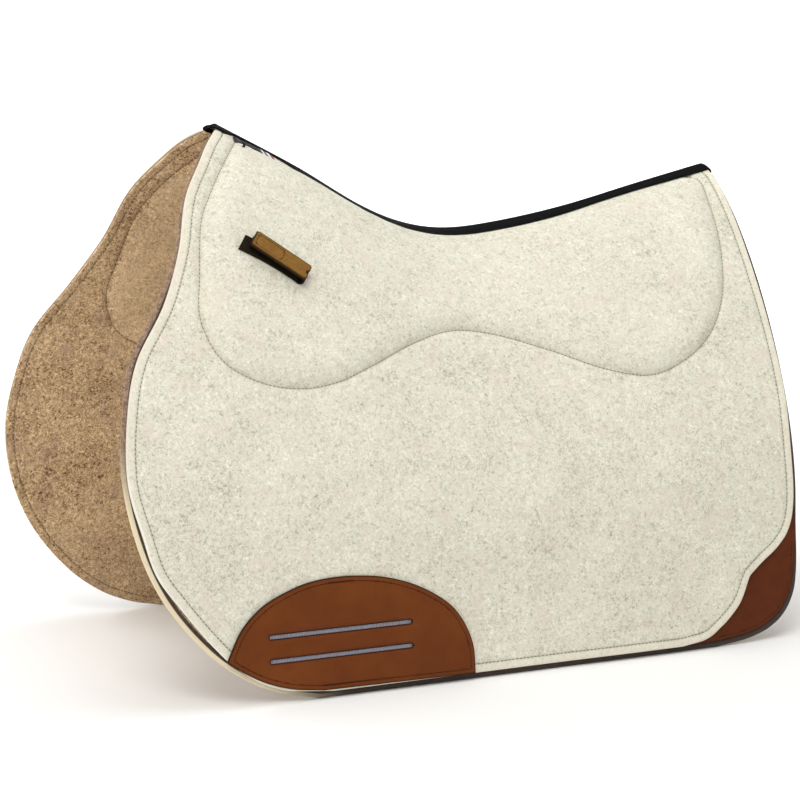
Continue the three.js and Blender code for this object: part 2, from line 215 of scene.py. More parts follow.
# %% [markdown]
# ## Grounds
# A *ground* takes pattern coordinates and a lift, and gives a point in space. The felt lies on the former's
# ground. Leather patches lie on the flat lower panel, and the keeper strap has a small ground of its own.

# %% The felt's ground and the flat panel's ground
def felt_ground(p, lift):
    depth = depth_of(p[:, 0], p[:, 1])
    points = former(p[:, 0], depth) + former_normal(p[:, 0], depth) * np.reshape(lift, (-1, 1))
    points[:, 1] = np.minimum(points[:, 1], -SEAM_HALF_GAP)
    points[:, 2] = np.maximum(points[:, 2], 0.0)
    return points


def seam_ground(p, lift):
    """The second coordinate is minus the distance from the seam."""
    return felt_ground(below_seam(p[:, 0], -p[:, 1]), lift)


PANEL_TILT = math.atan(FLARE)


def panel_ground(p, lift):
    """The flat lower panel: the second coordinate is the distance up the panel from the floor."""
    lift = np.broadcast_to(lift, len(p))
    y = -lift * math.cos(PANEL_TILT) + p[:, 1] * math.sin(PANEL_TILT) - FLOOR_HALF_WIDTH - SEAM_HALF_GAP
    z = lift * math.sin(PANEL_TILT) + p[:, 1] * math.cos(PANEL_TILT)
    return np.stack([p[:, 0], y, z], -1)


# %% [markdown]
# ## Cutting a sheet
# `inward` finds the direction that leads straight into the sheet from its edge, measured on the curved
# surface and not on the flat pattern. With it come the *rings*, lines of points at set distances from the
# edge. They are close together where the edge is rounded and where a seam pulls the felt down, so that
# these small shapes are real geometry. A Delaunay triangulation then fills the rest with even triangles.

# %% Resampling and offsetting lines on a ground
def resampled(ground, line, step, closed=False):
    line = np.vstack([line, line[:1]]) if closed else line
    walked = walked_along(ground(line, 0.0))
    count = max(int(round(walked[-1] / step)), 2)
    at = np.linspace(0, walked[-1], count + 1)
    out = np.stack([np.interp(at, walked, line[:, k]) for k in (0, 1)], -1)
    return out[:-1] if closed else out


def inward(ground, line, closed=False):
    """Pattern steps that lead 1 mm into the sheet. The sheet lies on the left of the line."""
    h = 1.5
    px = (ground(line + [h, 0], 0.0) - ground(line - [h, 0], 0.0)) / (2 * h)
    py = (ground(line + [0, h], 0.0) - ground(line - [0, h], 0.0)) / (2 * h)
    if closed:
        heading = np.roll(line, -1, axis=0) - np.roll(line, 1, axis=0)
    else:
        heading = np.gradient(line, axis=0)
    tangent = heading[:, :1] * px + heading[:, 1:] * py
    into = np.cross(np.cross(px, py), tangent)
    into /= np.linalg.norm(into, axis=1, keepdims=True)
    a, b, c = (px * px).sum(1), (px * py).sum(1), (py * py).sum(1)
    u, v = (px * into).sum(1), (py * into).sum(1)
    det = a * c - b * b
    return np.stack([(c * u - b * v) / det, (a * v - b * u) / det], -1)


def distance_to(ground, line, points, closed=False):
    """Distance in space from each point to a line, both in pattern coordinates."""
    dense = ground(resampled(ground, line, 1.0, closed), 0.0)
    here = ground(points, 0.0)
    tree = kdtree.KDTree(len(dense))
    for i, p in enumerate(dense):
        tree.insert(p, i)
    tree.balance()
    nearest = np.array([tree.find(p)[1] for p in here])
    best = np.full(len(here), np.inf)
    for shift in (-1, 0):
        first = np.clip(nearest + shift, 0, len(dense) - 2)
        a, b = dense[first], dense[first + 1]
        t = np.clip(((here - a) * (b - a)).sum(1) / ((b - a) ** 2).sum(1), 0, 1)
        best = np.minimum(best, np.linalg.norm(a + (b - a) * t[:, None] - here, axis=1))
    return best


def anticlockwise(loop):
    ahead = np.roll(loop, -1, axis=0)
    return loop if (loop[:, 0] * ahead[:, 1] - loop[:, 1] * ahead[:, 0]).sum() > 0 else loop[::-1]


def is_inside(loop, points):
    x, y = points.T
    inside = np.zeros(len(points), bool)
    for (ax, ay), (bx, by) in zip(loop, np.roll(loop, -1, axis=0)):
        if ay != by:
            inside ^= ((ay > y) != (by > y)) & (x < (bx - ax) * (y - ay) / (by - ay) + ax)
    return inside


# %% Cutting a flat pattern into triangles
class Cloth:
    """A cut sheet: its pattern points, its triangles, and each point's distance from the free edge."""

    def __init__(self, ground, edge, rest=None, holes=(), rings=(), lines=(), grid=5.0, step=3.0):
        self.ground, self.closed = ground, rest is None
        self.edge = resampled(ground, edge, step, self.closed)
        outline = self.edge if self.closed else np.vstack([self.edge, resampled(ground, rest, step)[1:-1]])
        self.outline = outline
        self.holes = [resampled(ground, hole, step, True) for hole in holes]
        points, chains = [], []

        def add(line, keep, closed):
            start = sum(len(p) for p in points)
            index = start + np.cumsum(keep) - 1
            ends = zip(range(len(line)), range(1, len(line) + closed))
            chains.extend((int(index[a]), int(index[b % len(line)])) for a, b in ends
                          if keep[a] and keep[b % len(line)])
            points.append(line[keep])

        add(outline, np.ones(len(outline), bool), True)
        for hole in self.holes:
            add(hole, np.ones(len(hole), bool), True)
            for d in rings:
                ring = hole - d * inward(ground, hole, True)
                add(ring, np.ones(len(ring), bool), True)
        into = inward(ground, self.edge, self.closed)
        for d in rings:
            ring = self.edge + d * into
            clear = distance_to(ground, np.vstack([outline, outline[:1]]), ring)
            add(ring, (clear > 0.97 * d) & is_inside(outline, ring), self.closed)
        for line, offsets in lines:
            line = resampled(ground, line, step, True)
            across = inward(ground, line, True)
            for d in offsets:
                ring = line + d * across
                add(ring, np.ones(len(ring), bool), True)
        fixed = np.vstack(points)
        low, high = outline.min(0), outline.max(0)
        rows = np.arange(low[1], high[1], grid * 0.866)
        filling = np.array([
            (x + (i % 2) * grid / 2, y) for i, y in enumerate(rows) for x in np.arange(low[0], high[0], grid)
        ])
        filling = filling[is_inside(outline, filling)]
        tree = kdtree.KDTree(len(fixed))
        for i, (x, y) in enumerate(fixed):
            tree.insert((x, y, 0), i)
        tree.balance()
        clear = np.array([tree.find((x, y, 0))[2] for x, y in filling]) if len(filling) else np.array([])
        every = np.vstack([fixed, filling[clear > 0.7 * grid]]) if len(filling) else fixed
        made = delaunay_2d_cdt([Vector(p) for p in every], chains, [], 0, 1e-4)
        self.points = np.array([tuple(p) for p in made[0]])
        tris = np.array([f for f in made[2] if len(f) == 3])
        centre = self.points[tris].mean(axis=1)
        keep = is_inside(outline, centre)
        for hole in self.holes:
            keep &= ~is_inside(hole, centre)
        a, b, c = (self.points[tris[:, k]] for k in range(3))
        turn = (b - a)[:, 0] * (c - a)[:, 1] - (b - a)[:, 1] * (c - a)[:, 0]
        keep &= np.abs(turn) > 1e-7
        tris = tris[keep]
        self.tris = np.where(turn[keep, None] < 0, tris[:, ::-1], tris)
        used, self.tris = np.unique(self.tris, return_inverse=True)
        self.tris = self.tris.reshape(-1, 3)
        self.points = self.points[used]
        self.rim = distance_to(ground, self.edge, self.points, self.closed)
        for hole in self.holes:
            self.rim = np.minimum(self.rim, distance_to(ground, hole, self.points, True))

    def border(self):
        """Directed edges that belong to only one triangle."""
        pairs = np.vstack([self.tris[:, [0, 1]], self.tris[:, [1, 2]], self.tris[:, [2, 0]]])
        size = len(self.points)
        key, back = pairs[:, 0] * size + pairs[:, 1], pairs[:, 1] * size + pairs[:, 0]
        return pairs[~np.isin(key, back)]


def rounded(rim, radius):
    """How far a rounded edge falls below the face, at a distance from the edge."""
    t = np.clip(1 - rim / radius, 0, 1)
    return radius * (1 - np.sqrt(1 - t**2))


# %% [markdown]
# ## From a cut sheet to a closed solid
# A layer has an outer face, an inner face and a cut edge that joins them. `layer` builds all three as one
# closed surface. The right half is the same mesh mirrored, with its triangles turned round so that their
# faces still point outwards.

# %% Making mesh objects
def new_object(name, verts_mm, faces, finish, side=1, attributes=None, uvs=None):
    verts = np.array(verts_mm, float) * MM
    if side < 0:
        verts[:, 1] *= -1
        faces = [tuple(f)[::-1] for f in faces] if isinstance(faces, list) else faces[:, ::-1]
    mesh = bpy.data.meshes.new(name)
    mesh.from_pydata(verts.tolist(), [], faces if isinstance(faces, list) else faces.tolist())
    for key, values in (attributes or {}).items():
        mesh.attributes.new(key, "FLOAT", "POINT").data.foreach_set("value", np.asarray(values, np.float32))
    if uvs is not None:
        corner = np.empty(len(mesh.loops), np.int32)
        mesh.loops.foreach_get("vertex_index", corner)
        uvs = (uvs * MM)[corner].astype(np.float32)
        mesh.uv_layers.new(name="cloth").data.foreach_set("uv", uvs.ravel())
    mesh.shade_smooth()
    mesh.materials.append(finish)
    made = bpy.data.objects.new(name, mesh)
    bpy.context.scene.collection.objects.link(made)
    return made


def layer(name, cloth, low, high, finish, side=1, sewn=None, padded=None):
    """Sewn is the distance from the nearest stitching, and padded is 1 over an insert."""
    count = len(cloth.points)
    verts = np.vstack([cloth.ground(cloth.points, high), cloth.ground(cloth.points, low)])
    a, b = cloth.border().T
    walls = np.vstack([np.stack([a, a + count, b + count], -1), np.stack([a, b + count, b], -1)])
    faces = np.vstack([cloth.tris, cloth.tris[:, ::-1] + count, walls])
    sewn = np.full(count, 99.0) if sewn is None else sewn
    padded = np.zeros(count) if padded is None else padded
    marks = {"rim": np.tile(cloth.rim, 2), "sewn": np.tile(sewn, 2), "padded": np.tile(padded, 2),
             "outside": np.repeat([1.0, 0.0], count)}
    return new_object(name, verts, faces, finish, side, marks, np.tile(cloth.points, (2, 1)))


def ring_faces(rings, spots, closed):
    """Quads between rings of points. A closed run also joins its last ring to its first."""
    ring, spot = np.meshgrid(np.arange(rings if closed else rings - 1), np.arange(spots), indexing="ij")
    corners = [((ring + i) % rings) * spots + (spot + j) % spots for i, j in ((0, 0), (1, 0), (1, 1), (0, 1))]
    return np.stack(corners, -1).reshape(-1, 4)


def ripple(points, size, depth, seed):
    """Gentle unevenness: size is the width of the bumps in mm, and depth their height."""
    shift = Vector((seed * 17.3, seed * 5.1, seed * 9.7))
    return depth * np.array([noise.noise(Vector(p) / size + shift) for p in points])


# %% [markdown]
# ## Colours and nodes
# Colours are written as the hex values that a screen shows, and Blender wants linear light, so one function
# converts them. `add` places a node, sets it up and links it, and every material below is built with it.

# %% Helpers for materials
def linear(hex_colour):
    channels = [int(hex_colour[i:i + 2], 16) / 255 for i in (1, 3, 5)]
    return (*[c / 12.92 if c <= 0.04045 else ((c + 0.055) / 1.055) ** 2.4 for c in channels], 1.0)


def add(tree, kind, inputs=None, **settings):
    node = tree.nodes.new(kind)
    for key, value in settings.items():
        setattr(node, key, value)
    for key, value in (inputs or {}).items():
        if isinstance(value, bpy.types.NodeSocket):
            tree.links.new(value, node.inputs[key])
        else:
            node.inputs[key].default_value = value
    return node


def new_material(name, **shader):
    """Words of a shader input are joined by underscores."""
    material = bpy.data.materials.new(name)
    material.use_nodes = True
    tree = material.node_tree
    bsdf = tree.nodes["Principled BSDF"]
    for key, value in shader.items():
        bsdf.inputs[key.replace("_", " ")].default_value = value
    return material, tree, bsdf


def mark(tree, name):
    """A value stored on the points of a mesh."""
    return add(tree, "ShaderNodeAttribute", attribute_name=name).outputs["Fac"]


def place(tree, coordinates="Object"):
    return add(tree, "ShaderNodeTexCoord").outputs[coordinates]


def split(tree, vector):
    return add(tree, "ShaderNodeSeparateXYZ", {"Vector": vector}).outputs


def cloud(tree, where, size_mm, detail=3.0, roughness=0.5, distortion=0.0):
    """Noise whose blobs are about size_mm across. Object coordinates are in metres."""
    return add(tree, "ShaderNodeTexNoise", {
        "Vector": where, "Scale": 0.5 / (size_mm * MM), "Detail": detail, "Roughness": roughness,
        "Distortion": distortion,
    }).outputs["Fac"]


def steps(tree, value, low, high, out_low=0.0, out_high=1.0):
    return add(tree, "ShaderNodeMapRange", {
        "Value": value, "From Min": low, "From Max": high, "To Min": out_low, "To Max": out_high,
    }, interpolation_type="SMOOTHSTEP").outputs["Result"]


def blended(tree, share, first, second):
    node = add(tree, "ShaderNodeMix", data_type="RGBA")
    for socket, value in ((node.inputs[0], share), (node.inputs[6], first), (node.inputs[7], second)):
        if isinstance(value, bpy.types.NodeSocket):
            tree.links.new(value, socket)
        else:
            socket.default_value = value
    return node.outputs[2]


def maths(tree, operation, *values):
    return add(tree, "ShaderNodeMath", dict(enumerate(values)), operation=operation).outputs[0]


def bumped(tree, bsdf, height, depth_mm, strength):
    bump = add(tree, "ShaderNodeBump", {"Height": height, "Distance": depth_mm * MM, "Strength": strength})
    tree.links.new(bump.outputs["Normal"], bsdf.inputs["Normal"])


# %% [markdown]
# ## Pressed wool felt
# Felt is wool fibre matted together with steam and pressure. It has no weave. Undyed wool mixes light and
# dark fibres, so up close it is speckled, and from further off it is softly clouded. The fibres scatter
# light at the edges, which a little sheen gives. Four sizes of noise make the clouds, the tufts, the small
# locks and the single fibres, and the two finest also make the bump.
#
# The colour of the cut edge differs from place to place. Its flecks are the wool's own, and the rest is painted
# light and shade: on the lining the cut at the rear and high at the front, and the band beside the outer felt,
# are painted dark, where shadow falls, and on both felts the cut low at the front is painted light, as a lit
# face. The lining is also painted darker low down, as shade.

# %% Felt materials
def felt(name, tones, wander, tint, edge, edge_share, bare, groove_shade_tone, groove_shade_share, padded=0.0, shade=0.0):
    """Wander says how far the tone goes over 30 mm, over 5 mm and over 1.5 mm.

    The edge has five tones: beside the next layer, the cut at the rear, the cut high and low at the front,
    and its flecks. Bare is how far the cut's tone reaches in from the edge, in mm."""
    dark, base, pale = tones
    clouds, tufts, speckle = wander
    material, tree, bsdf = new_material(
        name, Roughness=0.95, Specular_IOR_Level=0.12, Sheen_Weight=0.08, Sheen_Roughness=0.5)
    where = place(tree)
    lock, fibre = cloud(tree, where, 1.5, 2, 0.6, 1.2), cloud(tree, where, 0.8, 3, 0.7, 2.0)
    tone = 0.5
    for fleece, amount in ((cloud(tree, where, 30, 4, 0.6), clouds), (cloud(tree, where, 5, 3, 0.6, 0.5), tufts),
                           (lock, speckle), (fibre, 0.8 * speckle)):
        tone = maths(tree, "MULTIPLY_ADD", maths(tree, "SUBTRACT", fleece, 0.5), amount, tone)
    colour = blended(tree, steps(tree, tone, 0.0, 0.5), linear(dark), linear(base))
    colour = blended(tree, steps(tree, tone, 0.5, 1.0), colour, linear(pale))
    blush = steps(tree, cloud(tree, where, 13, 3, 0.6), 0.5, 0.72, 0, 0.45)
    colour = blended(tree, blush, colour, linear(tint))
    colour = blended(tree, maths(tree, "MULTIPLY", mark(tree, "padded"), padded), colour, linear(pale))
    x, _, z = split(tree, where)
    # Painted shade: below 0.2 m the felt darkens towards its dark tone, for the shade low down between the
    # panels.
    low = maths(tree, "MULTIPLY", steps(tree, z, 0.2, 0.0), shade)
    colour = blended(tree, low, colour, linear(dark))
    rim, outside = mark(tree, "rim"), mark(tree, "outside")
    # Painted shadow and light at the edge: on the lining the band beside the outer felt is painted dark for that
    # felt's shadow, and on the cream the same band is lighter. The cut's tones by place are painted too: dark on
    # the lining at the rear and high at the front, in shade, and light low at the front, as a lit face. Its
    # flecks are the wool's own.
    margin = maths(tree, "MULTIPLY", outside, steps(tree, rim, 8.4, 7.4))
    colour = blended(tree, maths(tree, "MULTIPLY", margin, edge_share), colour, linear(edge[0]))
    cut = blended(tree, steps(tree, lock, 0.4, 0.6, 0, 0.8), linear(edge[2]), linear(edge[4]))
    cut = blended(tree, steps(tree, z, 0.27, 0.18), cut, linear(edge[3]))
    cut = blended(tree, steps(tree, x, -0.16, -0.27), linear(edge[1]), cut)
    bare_rim = steps(tree, rim, bare, bare - 1.2, 0, 0.95)
    colour = blended(tree, maths(tree, "MULTIPLY", steps(tree, outside, 0.02, 0.3), bare_rim), colour, cut)
    # Painted shade along the stitching: the felt darkens there, partly for the thread's own dark line and partly
    # for the shade in the sewn groove.
    sewn = steps(tree, mark(tree, "sewn"), 2.6, 0.2, 0, groove_shade_share)
    tree.links.new(blended(tree, sewn, colour, linear(groove_shade_tone)), bsdf.inputs["Base Color"])
    bumped(tree, bsdf, maths(tree, "MULTIPLY_ADD", lock, 0.7, fibre), 0.6, 0.8)
    return material


# Edge tones in order: beside the next layer, rear cut, high front cut, low front cut, flecks. The pale low front
# cuts are painted highlights. On the lining the dark tones beside the outer felt, at the rear and high at the
# front are painted shade, and its last number paints shade on its lower part.
CREAM_FELT = felt("cream wool felt", ("#A19D87", "#D9D6C5", "#F3F1E4"), (0.4, 0.55, 1.5), "#DCCDBD",
                  ("#E7E0CD", "#E4DECD", "#E3DDCD", "#F3F1E8", "#D5CFBE"), 0.45, 1.7, "#A5A28C", 0.22, 0.05)
BROWN_FELT = felt("brown wool felt", ("#5A402B", "#C4A67F", "#F5DCB4"), (0.6, 0.5, 2.1), "#B2937F",
                  ("#3F3230", "#463D38", "#A68B76", "#E9DBBC", "#69554D"), 0.95, 4.7, "#6B5038", 0.12, 0.28, 0.3)
print("felts:", CREAM_FELT.name, BROWN_FELT.name)

# %% [markdown]
# ## Leather
# Vegetable-tanned leather with a smooth waxed face. Its colour drifts slowly over a hide, and it is darker
# where the edge was cut and burnished. The grain is a fine net of creases about a millimetre wide, which is
# barely there on a smooth hide, so its bump is shallow. Wax makes it satin.

# %% Leather materials
def leather(name, base, light, dark, edge, roughness=0.45, worn=0.0):
    material, tree, bsdf = new_material(name, IOR=1.45, Specular_IOR_Level=0.16)
    where = place(tree)
    wide, mottle = cloud(tree, where, 45, 3, 0.5), cloud(tree, where, 5, 3, 0.6)
    colour = blended(tree, steps(tree, wide, 0.35, 0.65), linear(base), linear(light))
    colour = blended(tree, steps(tree, mottle, 0.4, 0.8, 0, 0.3), colour, linear(dark))
    rub = cloud(tree, where, 1.0, 3, 0.7)
    colour = blended(tree, steps(tree, rub, 0.4, 0.7, 0, worn), colour, linear(dark))
    colour = blended(tree, steps(tree, mark(tree, "sewn"), 1.2, 0.3, 0, 0.7), colour, linear(edge))
    colour = blended(tree, steps(tree, mark(tree, "rim"), 1.9, 0.3, 0, 0.9), colour, linear(edge))
    creases = steps(tree, add(tree, "ShaderNodeTexVoronoi", {"Vector": where, "Scale": 1 / (1.1 * MM)},
                              feature="DISTANCE_TO_EDGE").outputs["Distance"], 0.0, 0.12)
    tree.links.new(colour, bsdf.inputs["Base Color"])
    tree.links.new(steps(tree, mottle, 0.3, 0.7, roughness - 0.05, roughness + 0.1), bsdf.inputs["Roughness"])
    bumped(tree, bsdf, maths(tree, "MULTIPLY_ADD", mottle, 0.8, creases), 0.06, 0.6)
    return material


PATCH_LEATHER = leather("waxed chestnut leather", "#65310C", "#703911", "#562706", "#1C0D05")
GUARD_LEATHER = leather("dark chestnut leather", "#542306", "#5E2A09", "#391402", "#1A0A04", 0.38)
TAB_LEATHER = leather("rubbed tan leather", "#86602B", "#966D35", "#66461B", "#2E1D0A", 0.6, 0.6)

# %% [markdown]
# ## Webbing, tape and small cloths
# Woven goods follow their own length, so their pattern reads the piece's UV map, laid out in real
# millimetres: ribs run across a webbing and fine cords run along it. The height of the weave comes from two
# waves, and it also darkens the gaps between the threads.

# %% Woven materials
def woven(name, base, light, rib_mm, cord_mm, roughness=0.8, depth_mm=0.25):
    material, tree, bsdf = new_material(name, Roughness=roughness, Specular_IOR_Level=0.08)
    along, across, _ = split(tree, place(tree, "UV"))
    turn = 2 * math.pi / MM
    ribs = maths(tree, "SINE", maths(tree, "MULTIPLY", along, turn / rib_mm))
    cords = maths(tree, "SINE", maths(tree, "MULTIPLY", across, turn / cord_mm))
    height = maths(tree, "MULTIPLY_ADD", maths(tree, "MULTIPLY", ribs, cords), 0.35,
                   maths(tree, "MULTIPLY", ribs, 0.3))
    height = maths(tree, "ADD", height, cloud(tree, place(tree), 0.8, 3, 0.7))
    colour = blended(tree, steps(tree, height, 0.1, 1.0), linear(base), linear(light))
    tree.links.new(colour, bsdf.inputs["Base Color"])
    bumped(tree, bsdf, height, depth_mm, 0.8)
    return material


WEBBING = woven("dark brown nylon webbing", "#0E0B06", "#2B2414", 1.6, 2.4)
BINDING_TAPE = woven("black woven tape", "#020202", "#0C0C0C", 1.0, 1.3, roughness=0.75)
# Painted shade: this grey cloth lies behind the girth patch's slots in place of the cream felt seen in shadow
# through them.
SLOT_SHADOW_CLOTH = woven("slot shadow cloth", "#6E6A77", "#C4C1CB", 1.6, 2.2, roughness=0.95, depth_mm=0.15)
SMUDGE_CLOTH = woven("dark grey cloth", "#2C292E", "#5A565C", 0.8, 0.8, roughness=0.9)
HOOK_TAPE = woven("hook and loop tape", "#060606", "#1C1C1C", 1.2, 1.2, roughness=0.85, depth_mm=0.5)
FOAM = felt("soft foam", ("#C9C3B0", "#DAD4C3", "#E9E4D6"), (0.3, 0.2, 0.4), "#DAD4C3",
            ("#D9D4C4", "#CFC9B8", "#DFDACB", "#DFDACB", "#CFC9B8"), 0.0, 1.7, "#C9C3B0", 0.0)


def thread(name, colour):
    material, tree, bsdf = new_material(name, Roughness=0.6, Specular_IOR_Level=0.15)
    where = place(tree)
    tone = blended(tree, cloud(tree, where, 1.2, 2), linear(colour), (0, 0, 0, 1))
    tree.links.new(blended(tree, 0.7, tone, linear(colour)), bsdf.inputs["Base Color"])
    bumped(tree, bsdf, cloud(tree, where, 0.5, 2), 0.1, 0.5)
    return material


GREY_THREAD = thread("grey-green polyester thread", "#86846F")
BROWN_THREAD = thread("brown polyester thread", "#6E563C")
DARK_THREAD = thread("dark waxed thread", "#120804")
BLACK_THREAD = thread("black polyester thread", "#0A0A0A")
TAN_THREAD = thread("olive waxed thread", "#2C1E0C")


# %% [markdown]
# The woven label is striped in plain blocks of colour along its length, read from its UV map.

# %% The label's stripes
def striped_cloth(name, ground, stripes):
    material, tree, bsdf = new_material(name, Roughness=0.7, Sheen_Weight=0.2)
    along = split(tree, place(tree, "UV"))["X"]
    colour = linear(ground)
    for start, shade in stripes:
        colour = blended(tree, maths(tree, "GREATER_THAN", along, start * MM), colour, linear(shade))
    tree.links.new(colour, bsdf.inputs["Base Color"])
    ribs = maths(tree, "SINE", maths(tree, "MULTIPLY", along, 2 * math.pi / (0.7 * MM)))
    bumped(tree, bsdf, ribs, 0.08, 0.6)
    return material


LABEL_CLOTH = striped_cloth("striped label ribbon", "#26262A", [
    (-169.0, "#E4E2DD"), (-166.5, "#3A3C66"), (-163.0, "#E4E2DD"), (-159.5, "#8A2A2C")])

# %% [markdown]
# ## Where the layers lie
# Lifts are distances outwards from the lining's outer face. The foam insert raises the outer felt inside the
# quilted pocket, and the corner guard raises it a little at the rear corner. Along the seam the felt is
# pressed thin under the tape. The outlines below are pairs of a height and the place along the back where
# the felt ends, and the pocket's outline is pairs of a place along the back and a height.

# %% The outlines of the two felts
LINING_FRONT = curve_through([
    (0, -196), (8, -233), (25, -272), (56, -312), (106, -352), (160, -376), (225, -387),
    (285, -380), (335, -365), (385, -330), (435, -300), (487, -279), (524, -251), (540, -236), (554, -214)])
LINING_REAR = curve_through([
    (0, 268), (4, 305), (13, 336), (30, 359), (60, 373), (130, 377), (250, 382.5), (400, 386), (492, 387.2),
    (501, 385)])
OUTER_FRONT = curve_through([
    (6, -183), (12, -233), (32, -275), (61, -306), (105, -341), (135, -361), (170, -372), (224, -383),
    (285, -376), (335, -359), (385, -323), (435, -297), (487, -277), (524, -249), (540, -234), (554, -214)])
OUTER_REAR_LOW = curve_through([(6, 222), (10, 250), (21, 270), (32, 284), (46, 297), (73, 310)])
OUTER_REAR_HIGH = curve_through([
    (73, 310), (87, 328), (98, 344), (112, 358), (128, 366), (150, 370),
    (203, 373), (275, 379), (400, 381), (501, 385)])
POCKET = [
    (-184, 537), (-125, 506.5), (-50, 463.5), (0, 443.5), (50, 435.5), (110, 439.5), (200, 454.5),
    (300, 478.5), (350, 489.5), (364, 485), (361, 462), (351, 414), (331, 361), (297, 320), (250, 295),
    (216, 288), (165, 297), (105, 319), (45, 337), (0, 342), (-50, 334), (-110, 315), (-150, 303),
    (-195, 300), (-240, 311), (-272, 333), (-287, 370), (-280, 412), (-267, 462), (-249, 490),
    (-228, 514), (-206, 533), (-195, 538.5)]
FRONT_TOP, REAR_TOP, CUSP, OUTER_BOTTOM = 554, 501, 73, 6


def edge_run(*parts):
    """Free edge from the front of the seam, down, along the bottom and up to the rear of the seam."""
    return np.vstack([to_pattern(curve(z), z) for curve, z in parts])


def heights(start, end):
    return np.linspace(start, end, max(int(abs(end - start) / 0.5), 2))


def seam_run():
    x = np.linspace(SEAM[-1][0], SEAM[0][0], 400)
    return np.stack([x, full_length(x)], -1)


LINING_EDGE = edge_run((LINING_FRONT, heights(FRONT_TOP, 0)), (LINING_REAR, heights(0, REAR_TOP)))
OUTER_EDGE = edge_run((OUTER_FRONT, heights(FRONT_TOP, OUTER_BOTTOM)),
                      (OUTER_REAR_LOW, heights(OUTER_BOTTOM, CUSP)),
                      (OUTER_REAR_HIGH, heights(CUSP, REAR_TOP)))
POCKET_LINE = anticlockwise(to_pattern(*loop_through(POCKET).T))
print("pocket line points:", len(POCKET_LINE))

# %% Cut both felts
EDGE_RINGS = (0.35, 0.9, 1.7, 2.8, 4.5, 6.3, 7.6, 8.6, 9.5, 10.4, 11.6, 13.5)
SEAM_RINGS = (-6, -3, -1.5, 0, 1.5, 3, 6, 10, 15, 20)
QUILTING = [(POCKET_LINE, SEAM_RINGS)]
outer_cloth = Cloth(felt_ground, OUTER_EDGE, seam_run(), rings=EDGE_RINGS, lines=QUILTING)
lining_cloth = Cloth(felt_ground, LINING_EDGE, seam_run(), rings=EDGE_RINGS, lines=QUILTING)
for cloth in (outer_cloth, lining_cloth):
    print("felt:", len(cloth.points), "points", len(cloth.tris), "triangles")


# %% Distance from the quilting
def quilt_depth(points):
    """Distance from the quilted line, negative outside the pocket."""
    side = np.where(is_inside(POCKET_LINE, points), 1, -1)
    return side * distance_to(felt_ground, POCKET_LINE, points, True)


# %% [markdown]
# ## The outer felt
# 4.5 mm of cream felt. Its lift is worked out at every point: up over the insert, down into the quilted line
# and into the line of edge stitching, and thin under the tape. The insert's own rise is steep at the
# quilting and flat on top, as foam under a sewn cover is, and it tapers away beside the spine.

# %% Lifts of the outer felt
LINING = 5.0
OUTER_FELT = 4.5
LAYER_GAP = 0.4
LOFT, LOFT_WIDTH, LOFT_POWER = 7.5, 26, 2.2
TAPER_FROM, TAPER_TO, THINNEST = 14, 58, 0.1
GUARD_LIFT, GUARD_LIFT_FULL, GUARD_LIFT_ENDS = 2.4, 215, 320
EDGE_STITCH = 9.0
SEAM_PINCH, LINING_PINCH = 2.3, 2.0
PINCH_FULL, PINCH_ENDS = 18.5, 25
FAR_FROM_EDGE = 60.0


def loft(points, quilt):
    """Rise over the insert, which is thin beside the seam."""
    u = np.clip(quilt / LOFT_WIDTH, 0, 1)
    taper = THINNEST + (1 - THINNEST) * smooth(from_seam(points), TAPER_FROM, TAPER_TO)
    return LOFT * (1 - (1 - u) ** LOFT_POWER) * taper


def guard_lift(points):
    """Rise over the guard, which lies round the rear lower corner."""
    height = former(points[:, 0], depth_of(points[:, 0], points[:, 1]))[:, 2]
    away = np.hypot(points[:, 0] - SEAM[-1][0], height)
    return GUARD_LIFT * (1 - smooth(away, GUARD_LIFT_FULL, GUARD_LIFT_ENDS))


def pressed_flat(points):
    """1 under the tape, and 0 clear of it."""
    return 1 - smooth(from_seam(points), PINCH_FULL, PINCH_ENDS)


def free_to_wave(points, rim):
    """0 at the edge and at the seam, where sewing holds the felt, and 1 away from them."""
    return smooth(rim, 2, 14) * smooth(from_seam(points), 10, 30)


def groove(distance, depth, width):
    return -depth * np.exp(-((distance / width) ** 2))


def outer_low(points, rim, quilt):
    return LAYER_GAP + loft(points, quilt) + guard_lift(points) + rounded(rim, 1.0)


def outer_high(points, rim, quilt):
    here = felt_ground(points, 0.0)
    uneven = (ripple(here, 70, 0.9, 1) + ripple(here, 18, 0.3, 2)) * free_to_wave(points, rim)
    return (LAYER_GAP + loft(points, quilt) + guard_lift(points) + OUTER_FELT
            - SEAM_PINCH * pressed_flat(points) - rounded(rim, 1.7)
            + groove(rim - EDGE_STITCH, 0.8, 1.6) + groove(quilt, 2.0, 2.8) + uneven)


def outer_face(points):
    """Lift of the outer felt's face at places far from its edge."""
    return outer_high(points, np.full(len(points), FAR_FROM_EDGE), quilt_depth(points))


def felt_pair(name, cloth, low, high, quilt, finish):
    """The same felt on both sides, marked with its distance from the sewing."""
    sewn = np.minimum(abs(quilt), abs(cloth.rim - EDGE_STITCH))
    return {side: layer(f"{side}_{name}", cloth, low, high, finish, sign, sewn, smooth(quilt, 0, 8))
            for side, sign in SIDES.items()}


outer_quilt = quilt_depth(outer_cloth.points)
outer_top = outer_high(outer_cloth.points, outer_cloth.rim, outer_quilt)
outer_base = np.minimum(outer_low(outer_cloth.points, outer_cloth.rim, outer_quilt), outer_top - 1.0)
outer_felts = felt_pair("outer_felt_shell", outer_cloth, outer_base, outer_top, outer_quilt, CREAM_FELT)
print("outer felt lift, mm:", outer_top.min().round(2), "to", outer_top.max().round(2))

# %% [markdown]
# ## The lining
# 5 mm of brown felt lies against the horse. The quilting goes through it too, so on the inside the pocket
# bulges a little and its outline can be seen.

